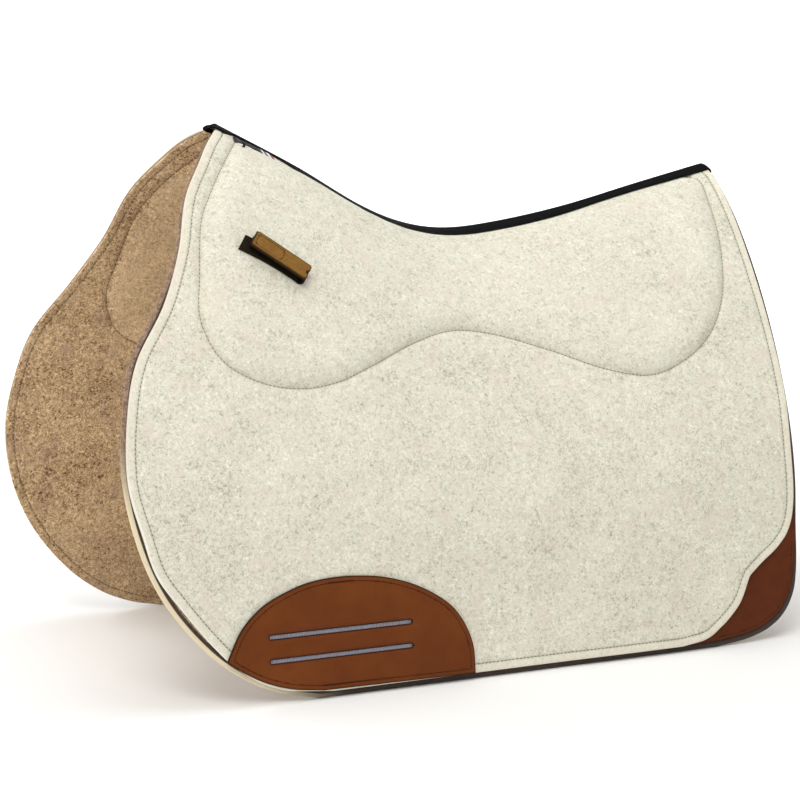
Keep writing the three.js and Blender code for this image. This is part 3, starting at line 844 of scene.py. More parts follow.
# %% Lifts of the lining
CREASE = np.array([(-280.0, 44.0), (-215.0, 112.0)])


def crease_distance(points):
    """Distance from a soft storage crease across the lower front of the lining."""
    a, b = CREASE
    t = np.clip(((points - a) @ (b - a)) / ((b - a) @ (b - a)), 0, 1)
    away = (points - a) - t[:, None] * (b - a)
    side = np.sign((b - a)[0] * away[:, 1] - (b - a)[1] * away[:, 0])
    return np.where(side == 0, 1, side) * np.hypot(*away.T)


def lining_low(points, rim, quilt):
    here = felt_ground(points, -LINING)
    from_crease = crease_distance(points)
    uneven = ripple(here, 60, 1.1, 5) + ripple(here, 16, 0.35, 6)
    uneven += groove(from_crease, -1.1, 5.0) + groove(from_crease - 7, 0.7, 4.0)
    bulge = 2.2 * smooth(quilt, 0, 22)
    return (-LINING - bulge + LINING_PINCH * pressed_flat(points) + rounded(rim, 1.6)
            - groove(rim - EDGE_STITCH, 0.8, 1.5) - groove(quilt, 1.3, 2.2)
            - uneven * free_to_wave(points, rim))


lining_quilt = quilt_depth(lining_cloth.points)
lining_top = -rounded(lining_cloth.rim, 1.2) + groove(lining_cloth.rim - EDGE_STITCH, 0.3, 1.5)
lining_base = lining_low(lining_cloth.points, lining_cloth.rim, lining_quilt)
lining_felts = felt_pair("lining_shell", lining_cloth, lining_base, lining_top, lining_quilt, BROWN_FELT)
thickness = lining_top - lining_base
print("lining thickness, mm:", thickness.min().round(2), "to", thickness.max().round(2))

# %% [markdown]
# ## Foam inserts
# The insert fills the pocket. It is a closed form a little smaller than its cover, rounded all the way round.

# %% The inserts
INSERT_INSET = 9.0
insert_line = resampled(felt_ground, POCKET_LINE, 6, True)
insert_line = insert_line + INSERT_INSET * inward(felt_ground, insert_line, True)
insert_cloth = Cloth(felt_ground, insert_line, rings=(0.5, 1.5, 3, 5, 8, 12), grid=9, step=7)
insert_top = LAYER_GAP - 0.3 + loft(insert_cloth.points, quilt_depth(insert_cloth.points))
insert_top = np.maximum(insert_top - 1.2 * np.exp(-insert_cloth.rim / 2), 1.0)
insert_base = np.full(len(insert_top), 0.15) + 0.4 * np.exp(-insert_cloth.rim)
inserts = {
    side: layer(f"{side}_foam_insert", insert_cloth, insert_base, insert_top, FOAM, sign)
    for side, sign in SIDES.items()
}

# %% [markdown]
# ## Leather on the flat panel
# The girth patch is a half moon with two long slots, through which a girth strap passes. It is cut from
# 2.2 mm leather with its edges bevelled and burnished, and a groove is pressed in for the thread. A strip of
# grey cloth behind the slots is painted shade: it stands in for the cream felt seen in shadow through them.
# The corner guard is thinner and lies under the outer felt, showing only in the notch at the rear corner.

# %% Girth patch, backing and corner guard
PATCH_ARC = [
    (-296, 47), (-279, 77), (-257, 97), (-234, 108), (-208, 116), (-179, 119), (-151, 118),
    (-124, 114), (-95, 105), (-68, 91), (-48, 75), (-35, 55), (-28, 34), (-27, 6.5)]
PATCH_LOW = [(-27, 6.5), (-196, 8.5), (-227, 13), (-254, 21.5), (-276, 33), (-296, 47)]
SLOT_FROM, SLOT_TO, SLOT_WIDTH, SLOT_HEIGHTS = -251, -96, 3.9, (42.5, 66.5)
PATCH_BACK = LAYER_GAP + OUTER_FELT + 0.15
SLOT_SHADOW_BACKING = 0.7
PATCH_LEATHER_THICKNESS = 2.2
PATCH_STITCH = 5.0


def by_length(marks):
    """Smooth open line through marks, as functions of the distance walked."""
    marks = np.array(marks, float)
    walked = walked_along(marks)
    at = np.linspace(0, walked[-1], int(walked[-1]))
    return np.stack([curve_through(list(zip(walked, marks[:, k])))(at) for k in (0, 1)], -1)


def slot_outline(height):
    r = SLOT_WIDTH / 2
    turn = np.linspace(-math.pi / 2, math.pi / 2, 10)
    right = np.stack([SLOT_TO - r + r * np.cos(turn), height + r * np.sin(turn)], -1)
    left = np.stack([SLOT_FROM + r - r * np.cos(turn), height - r * np.sin(turn)], -1)
    return np.vstack([right, left])


patch_low = np.vstack([PATCH_LOW[:1], by_length(PATCH_LOW[1:])])
patch_outline = np.vstack([by_length(PATCH_ARC)[:-1], patch_low[:-1]])[::-1]
patch_cloth = Cloth(panel_ground, patch_outline, holes=[slot_outline(h)[::-1] for h in SLOT_HEIGHTS],
                    rings=(0.3, 0.7, 1.2, 1.9), grid=4, step=1.6)
patch_away = distance_to(panel_ground, patch_outline, patch_cloth.points, True)
patch_base = PATCH_BACK + SLOT_SHADOW_BACKING + 0.1
patch_face = (patch_base + PATCH_LEATHER_THICKNESS - rounded(patch_cloth.rim, 0.9)
              + groove(patch_away - PATCH_STITCH, 0.35, 0.7) + 0.35 * smooth(patch_away, 4, 30)
              + ripple(panel_ground(patch_cloth.points, 0.0), 45, 0.3, 9) * smooth(patch_cloth.rim, 1, 6))
patches = {
    side: layer(f"{side}_girth_patch_leather", patch_cloth, patch_base, patch_face, PATCH_LEATHER, sign,
                abs(patch_away - PATCH_STITCH))
    for side, sign in SIDES.items()
}

# Painted shade: the grey strip behind the slots stands for the cream felt in shadow there.
SHADOW_BACKING_BOX = np.array([(-262, 30), (-85, 30), (-85, 79), (-262, 79)], float)
shadow_backing_cloth = Cloth(panel_ground, SHADOW_BACKING_BOX, rings=(0.4, 1.0), grid=6, step=4)
shadow_backing_face = PATCH_BACK + SLOT_SHADOW_BACKING - rounded(shadow_backing_cloth.rim, 0.3)
shadow_backings = {
    side: layer(f"{side}_slot_shadow_backing", shadow_backing_cloth, PATCH_BACK, shadow_backing_face, SLOT_SHADOW_CLOTH, sign)
    for side, sign in SIDES.items()
}

GUARD_OUTER = [
    (206, 4), (272, 6), (309, 11), (335, 20), (354, 35), (366, 56), (372, 87), (374, 128), (374, 149)]
GUARD_INNER = [(356, 146), (338, 122), (310, 100), (286, 76), (262, 48), (232, 26)]
GUARD_BACK, GUARD = 0.15, 1.6
GUARD_STITCH = 4.5
guard_edge = by_length(GUARD_OUTER[1:])
guard_outline = np.vstack([GUARD_OUTER[:1], guard_edge, GUARD_INNER])
guard_cloth = Cloth(panel_ground, guard_outline, rings=(0.3, 0.7, 1.2), grid=4, step=1.8)
guard_away = distance_to(panel_ground, guard_edge, guard_cloth.points)
guard_face = (GUARD_BACK + GUARD - rounded(guard_cloth.rim, 0.7) + groove(guard_away - GUARD_STITCH, 0.3, 0.7)
              + ripple(panel_ground(guard_cloth.points, 0.0), 30, 0.25, 12) * smooth(guard_cloth.rim, 1, 6))
guards = {
    side: layer(f"{side}_corner_guard_leather", guard_cloth, GUARD_BACK, guard_face, GUARD_LEATHER, sign,
                abs(guard_away - GUARD_STITCH))
    for side, sign in SIDES.items()
}
print("patch triangles:", len(patch_cloth.tris), "guard triangles:", len(guard_cloth.tris))

# %% [markdown]
# ## The spine tape
# One length of woven tape covers the seam. It runs along the top, folds down over each end of the felt and
# comes back along the underside, so it is a closed band. Its path is worked out from the felt it covers:
# snug on the outer felt above, snug on the lining below, and half a turn at each end.

# %% Binding tape
TAPE = 1.1
FOLD_BULGE = 1.2
TAPE_REAR, TAPE_FRONT = 384.0, -216.0
GROOVE_REACH = 8
tape_left = curve_through([
    (-216, 15), (-207, 14), (-196, 9.5), (-165, 9.5), (-145, 12), (-121, 20.5), (-73, 22), (-26, 22),
    (20, 21.5), (69, 20.5), (120, 20), (200, 16.5), (240, 13.5), (290, 13.5), (330, 15), (384, 15)])
tape_right = curve_through([
    (-216, 9), (-190, 12), (-110, 16), (0, 18), (60, 19.5), (120, 20), (200, 16.5), (240, 14), (384, 15)])


def tape_across(x, share):
    """Distance across the spine: share is -1 at the tape's left edge and 1 at its right edge."""
    return share * np.where(share < 0, tape_left(x), tape_right(x))


def across_spine(x, across, lift):
    """Point by x, signed distance across the spine (negative on the left) and lift."""
    depth = depth_of(*below_seam(x, np.abs(across)).T)
    points = former(x, depth) + former_normal(x, depth) * lift[:, None]
    points[:, 1] = np.minimum(points[:, 1], -0.02 * np.abs(across)) * smooth(np.abs(across), 0, 2.5)
    points[across > 0, 1] *= -1
    return points


def tape_section():
    """Rounded section of the tape: place across it, from -1 to 1, and height within it."""
    across = np.linspace(-1, 1, 25)
    top = [(a, TAPE - 0.35 * abs(a) ** 24) for a in across]
    bottom = [(a, 0.35 * abs(a) ** 24) for a in across[::-1]]
    return np.array(top + [(1.02, 0.5 * TAPE)] + bottom + [(-1.02, 0.5 * TAPE)])


def tape_stations(run=120, turn=11):
    """Round the band: share of the way to the front, height (1 on top, -1 below), reach ahead."""
    share = np.linspace(0, 1, run)
    angle = np.linspace(math.pi / 2, 3 * math.pi / 2, turn)[1:-1]
    return np.array([(t, 1.0, 0.0) for t in share] + [(1, math.sin(a), math.cos(a)) for a in angle]
                    + [(t, -1.0, 0.0) for t in share[::-1]]
                    + [(0, -math.sin(a), -math.cos(a)) for a in angle])


def tape_band():
    """The tape follows the front edge of the lining, and bridges the groove of the quilting."""
    section = tape_section()
    front = np.full(len(section), TAPE_FRONT)
    front_heights = across_spine(front, tape_across(front, section[:, 0]), 0 * front)[:, 2]
    tape_length = LINING_FRONT(front_heights) - 0.5 - TAPE_REAR
    clear = np.full(len(section), FAR_FROM_EDGE)
    verts, uvs = [], []
    for share, height, ahead in tape_stations():
        x = TAPE_REAR + tape_length * share
        across = tape_across(x, section[:, 0])
        pattern = below_seam(x, np.abs(across))
        depth = quilt_depth(pattern)
        depth = np.where(abs(depth) < GROOVE_REACH, GROOVE_REACH * np.sign(depth), depth)
        over = outer_high(pattern, clear, depth) + 0.3
        under = lining_low(pattern, clear, depth) - 0.3
        reach = (over - under) / 2
        lift = (over + under) / 2 + reach * height + section[:, 1] * height
        points = across_spine(x, across, lift)
        points[:, 0] += ahead * (reach + FOLD_BULGE + section[:, 1])
        verts.append(points)
        uvs.append(np.stack([x, across], -1))
    return np.vstack(verts), ring_faces(len(verts), len(section), True), np.vstack(uvs)


tape_verts, tape_faces, tape_uv = tape_band()
spine_tape = new_object("spine_tape", tape_verts, tape_faces, BINDING_TAPE, uvs=tape_uv)
print("tape:", len(tape_verts), "points")

# %% [markdown]
# ## Small pieces beside the tape
# At the front of each half a dark cloth tab closes the pocket's mouth, and on the left one a striped ribbon
# label is sewn down beside the tape. They are thin patches that follow the felt.

# %% Pocket tabs and label
def rounded_box(x0, x1, y0, y1, radius, count, notch=()):
    """Outline of a box with rounded corners. The notch is more points, in its side at x1."""
    turn = np.linspace(0, math.pi / 2, count)
    points = []
    for quarter, (cx, cy) in enumerate(((x1 - radius, y1 - radius), (x0 + radius, y1 - radius),
                                        (x0 + radius, y0 + radius), (x1 - radius, y0 + radius))):
        angle = turn + quarter * math.pi / 2
        points += [(cx + radius * math.cos(a), cy + radius * math.sin(a)) for a in angle]
    return np.array(points + list(notch))


def beside_tape(name, x_from, x_to, far, thickness, finish, sign, corner_radius):
    """A thin patch whose near edge lies under the tape."""
    outline = rounded_box(x_from, x_to, -far, -TAPE_OVERLAP, corner_radius, 5)
    cloth = Cloth(seam_ground, outline, rings=(0.3, 0.8), grid=2.5, step=1.2)
    base = outer_face(below_seam(cloth.points[:, 0], -cloth.points[:, 1])) + 0.15
    return layer(name, cloth, base, base + thickness - rounded(cloth.rim, 0.5 * thickness), finish, sign)


TAPE_OVERLAP = 10.5
tabs = {
    side: beside_tape(f"{side}_pocket_mouth_tab", -200, -171, 24, 0.8, SMUDGE_CLOTH, sign, 4.0)
    for side, sign in SIDES.items()
}
label = beside_tape("striped_ribbon_label", -170, -156, 20, 0.7, LABEL_CLOTH, 1, 1.0)

# %% [markdown]
# ## Keeper straps
# A keeper is a strap of webbing faced with leather. Its base is sewn to the felt, it folds back on itself at
# the rear, and at the front it closes with hook and loop. Its ground is a small flat frame beside the felt,
# with one axis along the strap and one across it. The webbing is a band swept along a drawn path. The
# leather is cut like the patches, with a small notch in its rear end.

# %% The strap's own frame
KEEPER_ORIGIN = np.array([-195.40, -118.96, 423.34])
ALONG = np.array([0.79195, -0.19902, -0.57725])
OUTWARDS = np.array([0.14568, -0.85650, 0.49516])
ACROSS = np.cross(OUTWARDS, ALONG)
WEB = 1.8
STRAP_WIDTH = 20.0
RUN_FRONT, RUN_FRONT_HEIGHT = -34.0, 9.0
FOLD_ALONG, FOLD_HEIGHT, FOLD_RADIUS = 27.2, 7.0, 4.9
BASE_FRONT, BASE_REAR = -41, 29.5


def keeper_ground(p, lift):
    lift = np.broadcast_to(lift, len(p))
    return KEEPER_ORIGIN + p[:, :1] * ALONG + p[:, 1:] * ACROSS + lift[:, None] * OUTWARDS


def run_height(along):
    """Middle of the webbing's outer run."""
    t = np.clip((along - RUN_FRONT) / (FOLD_ALONG - RUN_FRONT), 0, 1)
    low = RUN_FRONT_HEIGHT + WEB / 2
    return low + (FOLD_HEIGHT + FOLD_RADIUS - low) * t


def felt_under_strap(p):
    """Height of the outer felt's face below a place on the strap's frame."""
    on_felt = to_pattern(*keeper_ground(p, 0.0)[:, [0, 2]].T)
    return (felt_ground(on_felt, outer_face(on_felt)) - KEEPER_ORIGIN) @ OUTWARDS


# %% Webbing bands
def band(name, path, sign, askew=None):
    """Closed band of webbing along a path of (along, height). Askew lays it on the felt and shifts it."""
    path = np.array(path, float)
    heading = np.gradient(path, axis=0)
    heading /= np.linalg.norm(heading, axis=1, keepdims=True)
    up = np.stack([-heading[:, 1], heading[:, 0]], -1)
    half, r = STRAP_WIDTH / 2, WEB / 2
    flat = np.linspace(-half + r, half - r, 9)
    cap = np.linspace(math.pi / 2, -math.pi / 2, 7)[1:-1]
    section = [(a, r) for a in flat] + [(half - r + r * math.cos(c), r * math.sin(c)) for c in cap]
    section += [(-a, -r) for a in flat] + [(-half + r - r * math.cos(c), -r * math.sin(c)) for c in cap]
    section = np.array(section)
    verts, uvs = [], []
    for point, normal, length in zip(path, up, walked_along(path)):
        at = point + section[:, 1:] * normal
        across = section[:, 0] + (askew(point[0]) if askew else 0.0)
        felt_height = felt_under_strap(np.stack([at[:, 0], across], -1)) if askew else 0.0
        verts.append(keeper_ground(np.stack([at[:, 0], across], -1), at[:, 1] + felt_height))
        uvs.append(np.stack([np.full(len(section), length), section[:, 0]], -1))
    count, spots = len(path), len(section)
    faces = [tuple(face)[::-1] for face in ring_faces(count, spots, False).tolist()]
    faces += [tuple(reversed(range(spots))), tuple((count - 1) * spots + j for j in range(spots))]
    return new_object(name, np.vstack(verts), faces, WEBBING, sign, uvs=np.vstack(uvs))


fold_turn = np.linspace(math.pi / 2, -math.pi / 2, 15)
run_along = np.linspace(RUN_FRONT, FOLD_ALONG, 32)
RUN_PATH = list(zip(run_along, run_height(run_along)))
RUN_PATH += [(FOLD_ALONG + FOLD_RADIUS * math.cos(a), FOLD_HEIGHT + FOLD_RADIUS * math.sin(a))
             for a in fold_turn[1:]]
BASE_PATH = [(a, 0.2 + WEB / 2) for a in np.linspace(BASE_FRONT, BASE_REAR, 34)]
base_shift = curve_through([(BASE_FRONT, -6.5), (-30, -4.5), (-10, -1.5), (10, 0), (30, 0)])
straps, strap_bases = {}, {}
for side, sign in SIDES.items():
    straps[side] = band(f"{side}_keeper_webbing", RUN_PATH, sign)
    strap_bases[side] = band(f"{side}_keeper_base_webbing", BASE_PATH, sign, base_shift)

# %% Leather facing and hook-and-loop patches
LEATHER_HALF, LEATHER_REAR = 9.5, 32.0
NOTCH_END = LEATHER_REAR - 3.2
NOTCH = [(LEATHER_REAR, -3.4), (NOTCH_END, -0.9), (NOTCH_END, 0.3), (LEATHER_REAR, 2.4)]
TAB_LEATHER_THICKNESS = 2.0
HOOK_THICKNESS = 0.9

leather_outline = rounded_box(RUN_FRONT, LEATHER_REAR, -LEATHER_HALF, LEATHER_HALF, 3.0, 6, NOTCH)
leather_cloth = Cloth(keeper_ground, leather_outline, rings=(0.3, 0.7, 1.2), grid=2.2, step=1.0)
BOX_STITCH = rounded_box(RUN_FRONT + 3.2, 0.5, -6.4, 6.4, 3.0, 6)
leather_low = run_height(leather_cloth.points[:, 0]) + WEB / 2 + 0.1
box_away = distance_to(keeper_ground, BOX_STITCH, leather_cloth.points, True)
worn_uneven = ripple(keeper_ground(leather_cloth.points, 0.0), 9, 0.5, 20)
leather_high = (leather_low + TAB_LEATHER_THICKNESS - rounded(leather_cloth.rim, 0.9)
                + groove(box_away, 0.4, 0.6) + worn_uneven * smooth(leather_cloth.rim, 0.5, 3))
HOOK_BOX = rounded_box(RUN_FRONT + 0.5, -14.5, -8.2, 8.2, 1.0, 6)
hook_cloth = Cloth(keeper_ground, HOOK_BOX, rings=(0.3,), grid=2.5, step=1.5)
hook_high = run_height(hook_cloth.points[:, 0]) - WEB / 2 - 0.05
loop_low = felt_under_strap(hook_cloth.points) + 0.25 + WEB
tab_leathers, hooks, loops = {}, {}, {}
for side, sign in SIDES.items():
    tab_leathers[side] = layer(f"{side}_keeper_leather_facing", leather_cloth, leather_low, leather_high,
                               TAB_LEATHER, sign, box_away)
    hooks[side] = layer(f"{side}_hook_patch", hook_cloth, hook_high - HOOK_THICKNESS, hook_high,
                        HOOK_TAPE, sign)
    loops[side] = layer(f"{side}_loop_patch", hook_cloth, loop_low, loop_low + HOOK_THICKNESS,
                        HOOK_TAPE, sign)
print("keeper leather triangles:", len(leather_cloth.tris))

# %% [markdown]
# ## Stitching
# Every seam is a row of single stitches: a short bead of thread that dips into a needle hole at each end. A
# Geometry Nodes tree makes a row from a line. It resamples the line at the stitch length, puts one bead on
# each point, turns it along the line, and lays its flat side on the surface with the help of a stored "up"
# direction. A little seeded turn keeps the row from looking printed. The tree ends in Realize Instances and
# Set Material, because a finished piece has to be one plain mesh.

# %% The stitch tree
def stitch_tree():
    tree = bpy.data.node_groups.new("row_of_stitches", "GeometryNodeTree")
    sockets = {}
    tree.interface.new_socket("Line", in_out="INPUT", socket_type="NodeSocketGeometry")
    for name, value in (("Stitch length", 0.004), ("Thread radius", 0.0005), ("Bead share", 0.8)):
        socket = tree.interface.new_socket(name, in_out="INPUT", socket_type="NodeSocketFloat")
        socket.default_value = value
        sockets[name] = socket.identifier
    for name, kind in (("Seed", "NodeSocketInt"), ("Thread", "NodeSocketMaterial")):
        sockets[name] = tree.interface.new_socket(name, in_out="INPUT", socket_type=kind).identifier
    tree.interface.new_socket("Stitches", in_out="OUTPUT", socket_type="NodeSocketGeometry")
    given = add(tree, "NodeGroupInput").outputs
    curve = add(tree, "GeometryNodeMeshToCurve", {"Mesh": given["Line"]}).outputs["Curve"]
    curve = add(tree, "GeometryNodeResampleCurve", {"Curve": curve, "Length": given["Stitch length"]},
                mode="LENGTH").outputs["Curve"]
    bead = add(tree, "GeometryNodeMeshUVSphere", {"Segments": 6, "Rings": 5, "Radius": 1.0}).outputs["Mesh"]
    half = maths(tree, "MULTIPLY", given["Stitch length"], 0.5)
    half = maths(tree, "MULTIPLY", half, given["Bead share"])
    size = add(tree, "ShaderNodeCombineXYZ", {
        "X": half, "Y": given["Thread radius"], "Z": given["Thread radius"]}).outputs["Vector"]
    bead = add(tree, "GeometryNodeTransform", {"Geometry": bead, "Scale": size}).outputs["Geometry"]
    tangent = add(tree, "GeometryNodeInputTangent").outputs["Tangent"]
    up = add(tree, "GeometryNodeInputNamedAttribute", {"Name": "up"}, data_type="FLOAT_VECTOR")
    turn = add(tree, "FunctionNodeAlignRotationToVector", {"Vector": tangent}, axis="X").outputs["Rotation"]
    turn = add(tree, "FunctionNodeAlignRotationToVector", {
        "Rotation": turn, "Vector": up.outputs["Attribute"]}, axis="Z", pivot_axis="X").outputs["Rotation"]
    yaw = add(tree, "FunctionNodeRandomValue", {2: -0.07, 3: 0.07, "Seed": given["Seed"]}, data_type="FLOAT")
    spin = add(tree, "ShaderNodeCombineXYZ", {"Z": yaw.outputs[1]}).outputs["Vector"]
    turn = add(tree, "FunctionNodeRotateRotation", {
        "Rotation": turn, "Rotate By": add(tree, "FunctionNodeEulerToRotation", {"Euler": spin}).outputs[0],
    }, rotation_space="LOCAL").outputs["Rotation"]
    placed = add(tree, "GeometryNodeInstanceOnPoints", {
        "Points": curve, "Instance": bead, "Rotation": turn}).outputs["Instances"]
    real = add(tree, "GeometryNodeRealizeInstances", {"Geometry": placed}).outputs["Geometry"]
    round_beads = add(tree, "GeometryNodeSetShadeSmooth", {"Geometry": real}).outputs["Geometry"]
    sewn = add(tree, "GeometryNodeSetMaterial", {
        "Geometry": round_beads, "Material": given["Thread"]}).outputs["Geometry"]
    add(tree, "NodeGroupOutput", {"Stitches": sewn})
    return tree, sockets


STITCHES, STITCH_SOCKETS = stitch_tree()


def sew(name, points_mm, up, sign, thread_finish, length, radius, share, closed=False):
    """A row of stitches along points in space, made into one plain mesh. Share is the bead's of a stitch."""
    flip = np.array([1, sign, 1])
    verts = points_mm * flip * MM
    edges = [(i, i + 1) for i in range(len(verts) - 1)] + ([(len(verts) - 1, 0)] if closed else [])
    mesh = bpy.data.meshes.new(name + "_line")
    mesh.from_pydata(verts.tolist(), edges, [])
    mesh.attributes.new("up", "FLOAT_VECTOR", "POINT").data.foreach_set(
        "vector", (up * flip).astype(np.float32).ravel())
    row = bpy.data.objects.new(name + "_line", mesh)
    bpy.context.scene.collection.objects.link(row)
    modifier = row.modifiers.new("stitches", "NODES")
    modifier.node_group = STITCHES
    for key, value in (("Stitch length", length * MM), ("Thread radius", radius * MM), ("Bead share", share),
                       ("Seed", 1), ("Thread", thread_finish)):
        modifier[STITCH_SOCKETS[key]] = value
    seen = row.evaluated_get(bpy.context.evaluated_depsgraph_get())
    plain = bpy.data.meshes.new_from_object(seen)
    plain.name = name
    if "up" in plain.attributes:
        plain.attributes.remove(plain.attributes["up"])
    made = bpy.data.objects.new(name, plain)
    bpy.context.scene.collection.objects.link(made)
    bpy.data.objects.remove(row)
    return made


def on_surface(ground, line, lift, sink):
    """A line's points on a surface with a lift, set a little below it, and the surface's directions."""
    low, high = ground(line, lift - 0.5), ground(line, lift + 0.5)
    up = (high - low) / np.linalg.norm(high - low, axis=1, keepdims=True)
    return ground(line, lift) + up * sink, up


# %% [markdown]
# The felts get a long stitch in a thread close to their own colour. The leather gets a short, tight stitch
# in dark waxed thread. Both felts carry the quilting, since one row of sewing passes through them.

# %% Sew the felts
def felt_rows(cloth, face, direction, name, finish, sign):
    """Edge row and quilted row on one face of a felt. Direction is 1 outside and -1 inside."""
    rows = []
    edge = cloth.edge + EDGE_STITCH * inward(felt_ground, cloth.edge)
    all_round = np.vstack([cloth.outline, cloth.outline[:1]])
    edge = edge[distance_to(felt_ground, all_round, edge) > 0.97 * EDGE_STITCH]
    quilt = resampled(felt_ground, POCKET_LINE, 3, True)
    for part, line, closed in (("edge", edge, False), ("quilt", quilt, True)):
        lift = face(line, distance_to(felt_ground, cloth.edge, line), quilt_depth(line))
        points, up = on_surface(felt_ground, line, lift, 0.12 * direction)
        rows.append(sew(f"{name}_{part}_stitching", points, up, sign, finish, 4.4, 0.5, 0.84, closed))
    return rows


stitching = {
    side: felt_rows(outer_cloth, outer_high, 1, f"{side}_outer", GREY_THREAD, sign)
    + felt_rows(lining_cloth, lining_low, -1, f"{side}_lining", BROWN_THREAD, sign)
    for side, sign in SIDES.items()
}
print("stitch rows on the felts:", {side: [row.name for row in rows] for side, rows in stitching.items()})

# %% Sew the leather and the tabs
patch_row = resampled(panel_ground, patch_outline, 1.6, True)
patch_row = patch_row + PATCH_STITCH * inward(panel_ground, patch_row, True)
patch_row = patch_row[distance_to(panel_ground, patch_outline, patch_row, True) > 0.97 * PATCH_STITCH]
guard_row = resampled(panel_ground, guard_edge, 1.8)
guard_row = guard_row + GUARD_STITCH * inward(panel_ground, guard_row)
patch_sewing = on_surface(panel_ground, patch_row, patch_base + PATCH_LEATHER_THICKNESS - 0.1, 0.05)
guard_sewing = on_surface(panel_ground, guard_row, GUARD_BACK + GUARD - 0.25, 0.05)
box_row = resampled(keeper_ground, BOX_STITCH, 1.0, True)
box_lift = run_height(box_row[:, 0]) + WEB / 2 + 0.1 + TAB_LEATHER_THICKNESS - 0.3
box_sewing = on_surface(keeper_ground, box_row, box_lift, 0.05)

# The bar tack is a short zigzag across the mouth of the pocket, over the tab.
TACK_FROM, TACK_TO, TACK_TURNS = np.array([-190.0, -17.0]), np.array([-196.0, -31.0]), 24
tack_line = TACK_FROM + (TACK_TO - TACK_FROM) * np.linspace(0, 1, TACK_TURNS)[:, None]
tack_line[:, 0] += 1.1 * (-1) ** np.arange(TACK_TURNS)
over_tab = 0.85 * smooth(-tack_line[:, 1], 26, 23)
tack_lift = outer_face(below_seam(tack_line[:, 0], -tack_line[:, 1])) + 0.15 + over_tab
tack_sewing = on_surface(seam_ground, tack_line, tack_lift, 0.3)

leather_rows, keeper_rows = {}, {}
for side, sign in SIDES.items():
    leather_rows[side] = [
        sew(f"{side}_girth_patch_stitching", *patch_sewing, sign, DARK_THREAD, 3.0, 0.55, 0.72, True),
        sew(f"{side}_guard_stitching", *guard_sewing, sign, DARK_THREAD, 3.0, 0.35, 0.7)]
    keeper_rows[side] = sew(f"{side}_keeper_stitching", *box_sewing, sign, TAN_THREAD, 2.6, 0.35, 0.8, True)
for side, sign in SIDES.items():
    leather_rows[side].append(sew(f"{side}_bar_tack", *tack_sewing, sign, BLACK_THREAD, 1.6, 0.45, 1.3))

# %% [markdown]
# ## Telling the frame what moves with what
# The felts and their stitching are baked in place. The keeper's outer run, leather, hooks and stitching hang
# from one body, so they swing together, and the other pieces hang from their half. Each piece hides the solid
# it stands for, and the felts and the backing print the size they were cut to.


def bends_at_spine(piece):
    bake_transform(piece)


def flat_size(cloth):
    """Width, length and area of a cut sheet, measured on the former, in metres."""
    low, high = cloth.points.min(0) * MM, cloth.points.max(0) * MM
    verts = cloth.ground(cloth.points, 0.0) * MM
    a, b, c = (verts[cloth.tris[:, k]] for k in range(3))
    area = float(np.linalg.norm(np.cross(b - a, c - a), axis=1).sum() / 2)
    return (float(high[0] - low[0]), float(high[1] - low[1])), area


for side in SIDES:
    panel, keeper = f"{side}_panel", f"{side}_keeper"
    for piece, node, slot in (
        (outer_felts[side], "outer_felt", "outer_felt"), (lining_felts[side], "lining_felt", "lining_felt"),
    ):
        bends_at_spine(piece)
        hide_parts(f"{side}_{node}")
    for row in stitching[side]:
        bends_at_spine(row)
    for piece, body, node, slot in (
        (inserts[side], panel, "padding_insert", "insert_foam"),
        (patches[side], panel, "girth_patch", "patch_leather"),
        (shadow_backings[side], panel, "girth_patch_backing", "grey_backing"),
        (guards[side], panel, "corner_guard", "guard_leather"),
        (tabs[side], panel, "pocket_tab", "grey_backing"),
        (strap_bases[side], panel, "keeper_base", "webbing"),
        (loops[side], panel, "keeper_loop_patch", "hook_and_loop"),
        (straps[side], keeper, "keeper_strap", "webbing"),
        (tab_leathers[side], keeper, "keeper_leather", "tab_leather"),
        (hooks[side], keeper, "keeper_hook_patch", "hook_and_loop"),
    ):
        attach(piece, body)
        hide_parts(f"{side}_{node}")
    for row in leather_rows[side]:
        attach(row, panel)
    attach(keeper_rows[side], keeper)
    for piece, cloth, held, under in (
        (outer_felts[side], outer_cloth, "draped", [inserts[side], lining_felts[side]]),
        (lining_felts[side], lining_cloth, "draped", [spine_tape]),
        (shadow_backings[side], shadow_backing_cloth, "laid", [outer_felts[side]]),
    ):
        size, area = flat_size(cloth)
        print(piece.name, "cut", [round(s, 3) for s in size], "area", round(area, 4))

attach(label, "left_panel")
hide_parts("woven_label")
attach(spine_tape, "spine")
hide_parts("spine_binding")

# %% [markdown]
# ## The studio
# The pad stands on a pale floor that turns up into a low wall all round, so there is no horizon line. Light
# comes from a bright even sky, with a large soft lamp in front on the left that models the quilting. Two
# lamps behind the pad brighten the wall. The camera is a long lens from the front left, a little above the
# pad.

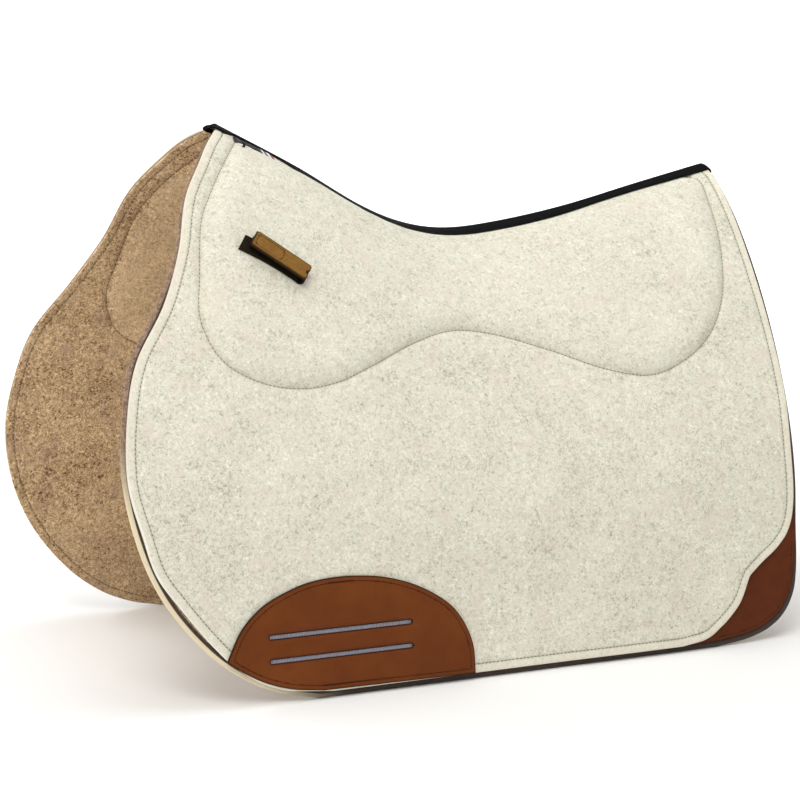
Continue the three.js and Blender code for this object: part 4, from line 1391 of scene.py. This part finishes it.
# %% Floor
def studio_floor():
    material, tree, bsdf = new_material("pale studio floor", Roughness=0.9)
    tone = blended(tree, cloud(tree, place(tree), 400, 2), linear("#F0F0EF"), linear("#F3F3F3"))
    tree.links.new(tone, bsdf.inputs["Base Color"])
    level, reach, bend, around = -0.0004, 4.5, 2.5, 64
    profile = [(r, level) for r in (0.0, 1.0, 2.5, reach)]
    profile += [(reach + bend * math.sin(a), bend - bend * math.cos(a))
                for a in np.linspace(0.1, math.pi / 2, 12)]
    verts = [(r * math.cos(t), r * math.sin(t), z) for r, z in profile
             for t in np.arange(around) * 2 * math.pi / around]
    floor = new_object("studio_floor", np.array(verts) / MM, ring_faces(len(profile), around, False), material)


studio_floor()

# %% Light
def area_lamp(name, place, target, size, power, colour="#FFFFFF"):
    lamp = bpy.data.lights.new(name, "AREA")
    lamp.shape, lamp.size, lamp.energy = "DISK", size, power
    lamp.color = linear(colour)[:3]
    made = bpy.data.objects.new(name, lamp)
    made.location = place
    made.rotation_euler = (Vector(target) - Vector(place)).to_track_quat("-Z", "Y").to_euler()
    bpy.context.scene.collection.objects.link(made)


area_lamp("key_lamp", (-1.6, -2.2, 3.2), (0, 0, 0.35), 1.8, 58, "#FFFDF8")
area_lamp("top_lamp", (0.0, -0.4, 3.4), (0, 0, 0.3), 2.2, 34)
area_lamp("front_lamp", (-2.8, -0.9, 1.5), (-0.2, 0.1, 0.35), 1.0, 8, "#FFF9F2")
area_lamp("wall_lamp_left", (-3.0, 2.2, 3.2), (-2.6, 5.6, 0.2), 2.0, 230)
area_lamp("wall_lamp_right", (3.0, 2.2, 3.2), (3.4, 5.6, 0.2), 2.0, 230)
world = bpy.data.worlds.new("even sky")
world.use_nodes = True
sky = world.node_tree.nodes["Background"].inputs
sky["Color"].default_value, sky["Strength"].default_value = (1, 1, 1, 1), 0.57
bpy.context.scene.world = world
bpy.context.scene.view_settings.view_transform = "Standard"

# %% Camera
AZIMUTH, ELEVATION = math.radians(-26), math.radians(8.37)
DISTANCE = 2.6
LENS_MM, SENSOR_MM = 107.28, 36
target = Vector((0, 0, 0.255))
back = Vector((math.sin(AZIMUTH) * math.cos(ELEVATION), -math.cos(AZIMUTH) * math.cos(ELEVATION),
               math.sin(ELEVATION)))
lens = bpy.data.cameras.new("camera")
lens.sensor_width = SENSOR_MM
lens.lens = LENS_MM
camera = bpy.data.objects.new("camera", lens)
camera.location = target + DISTANCE * back
camera.rotation_euler = (-back).to_track_quat("-Z", "Y").to_euler()
bpy.context.scene.collection.objects.link(camera)
bpy.context.scene.camera = camera
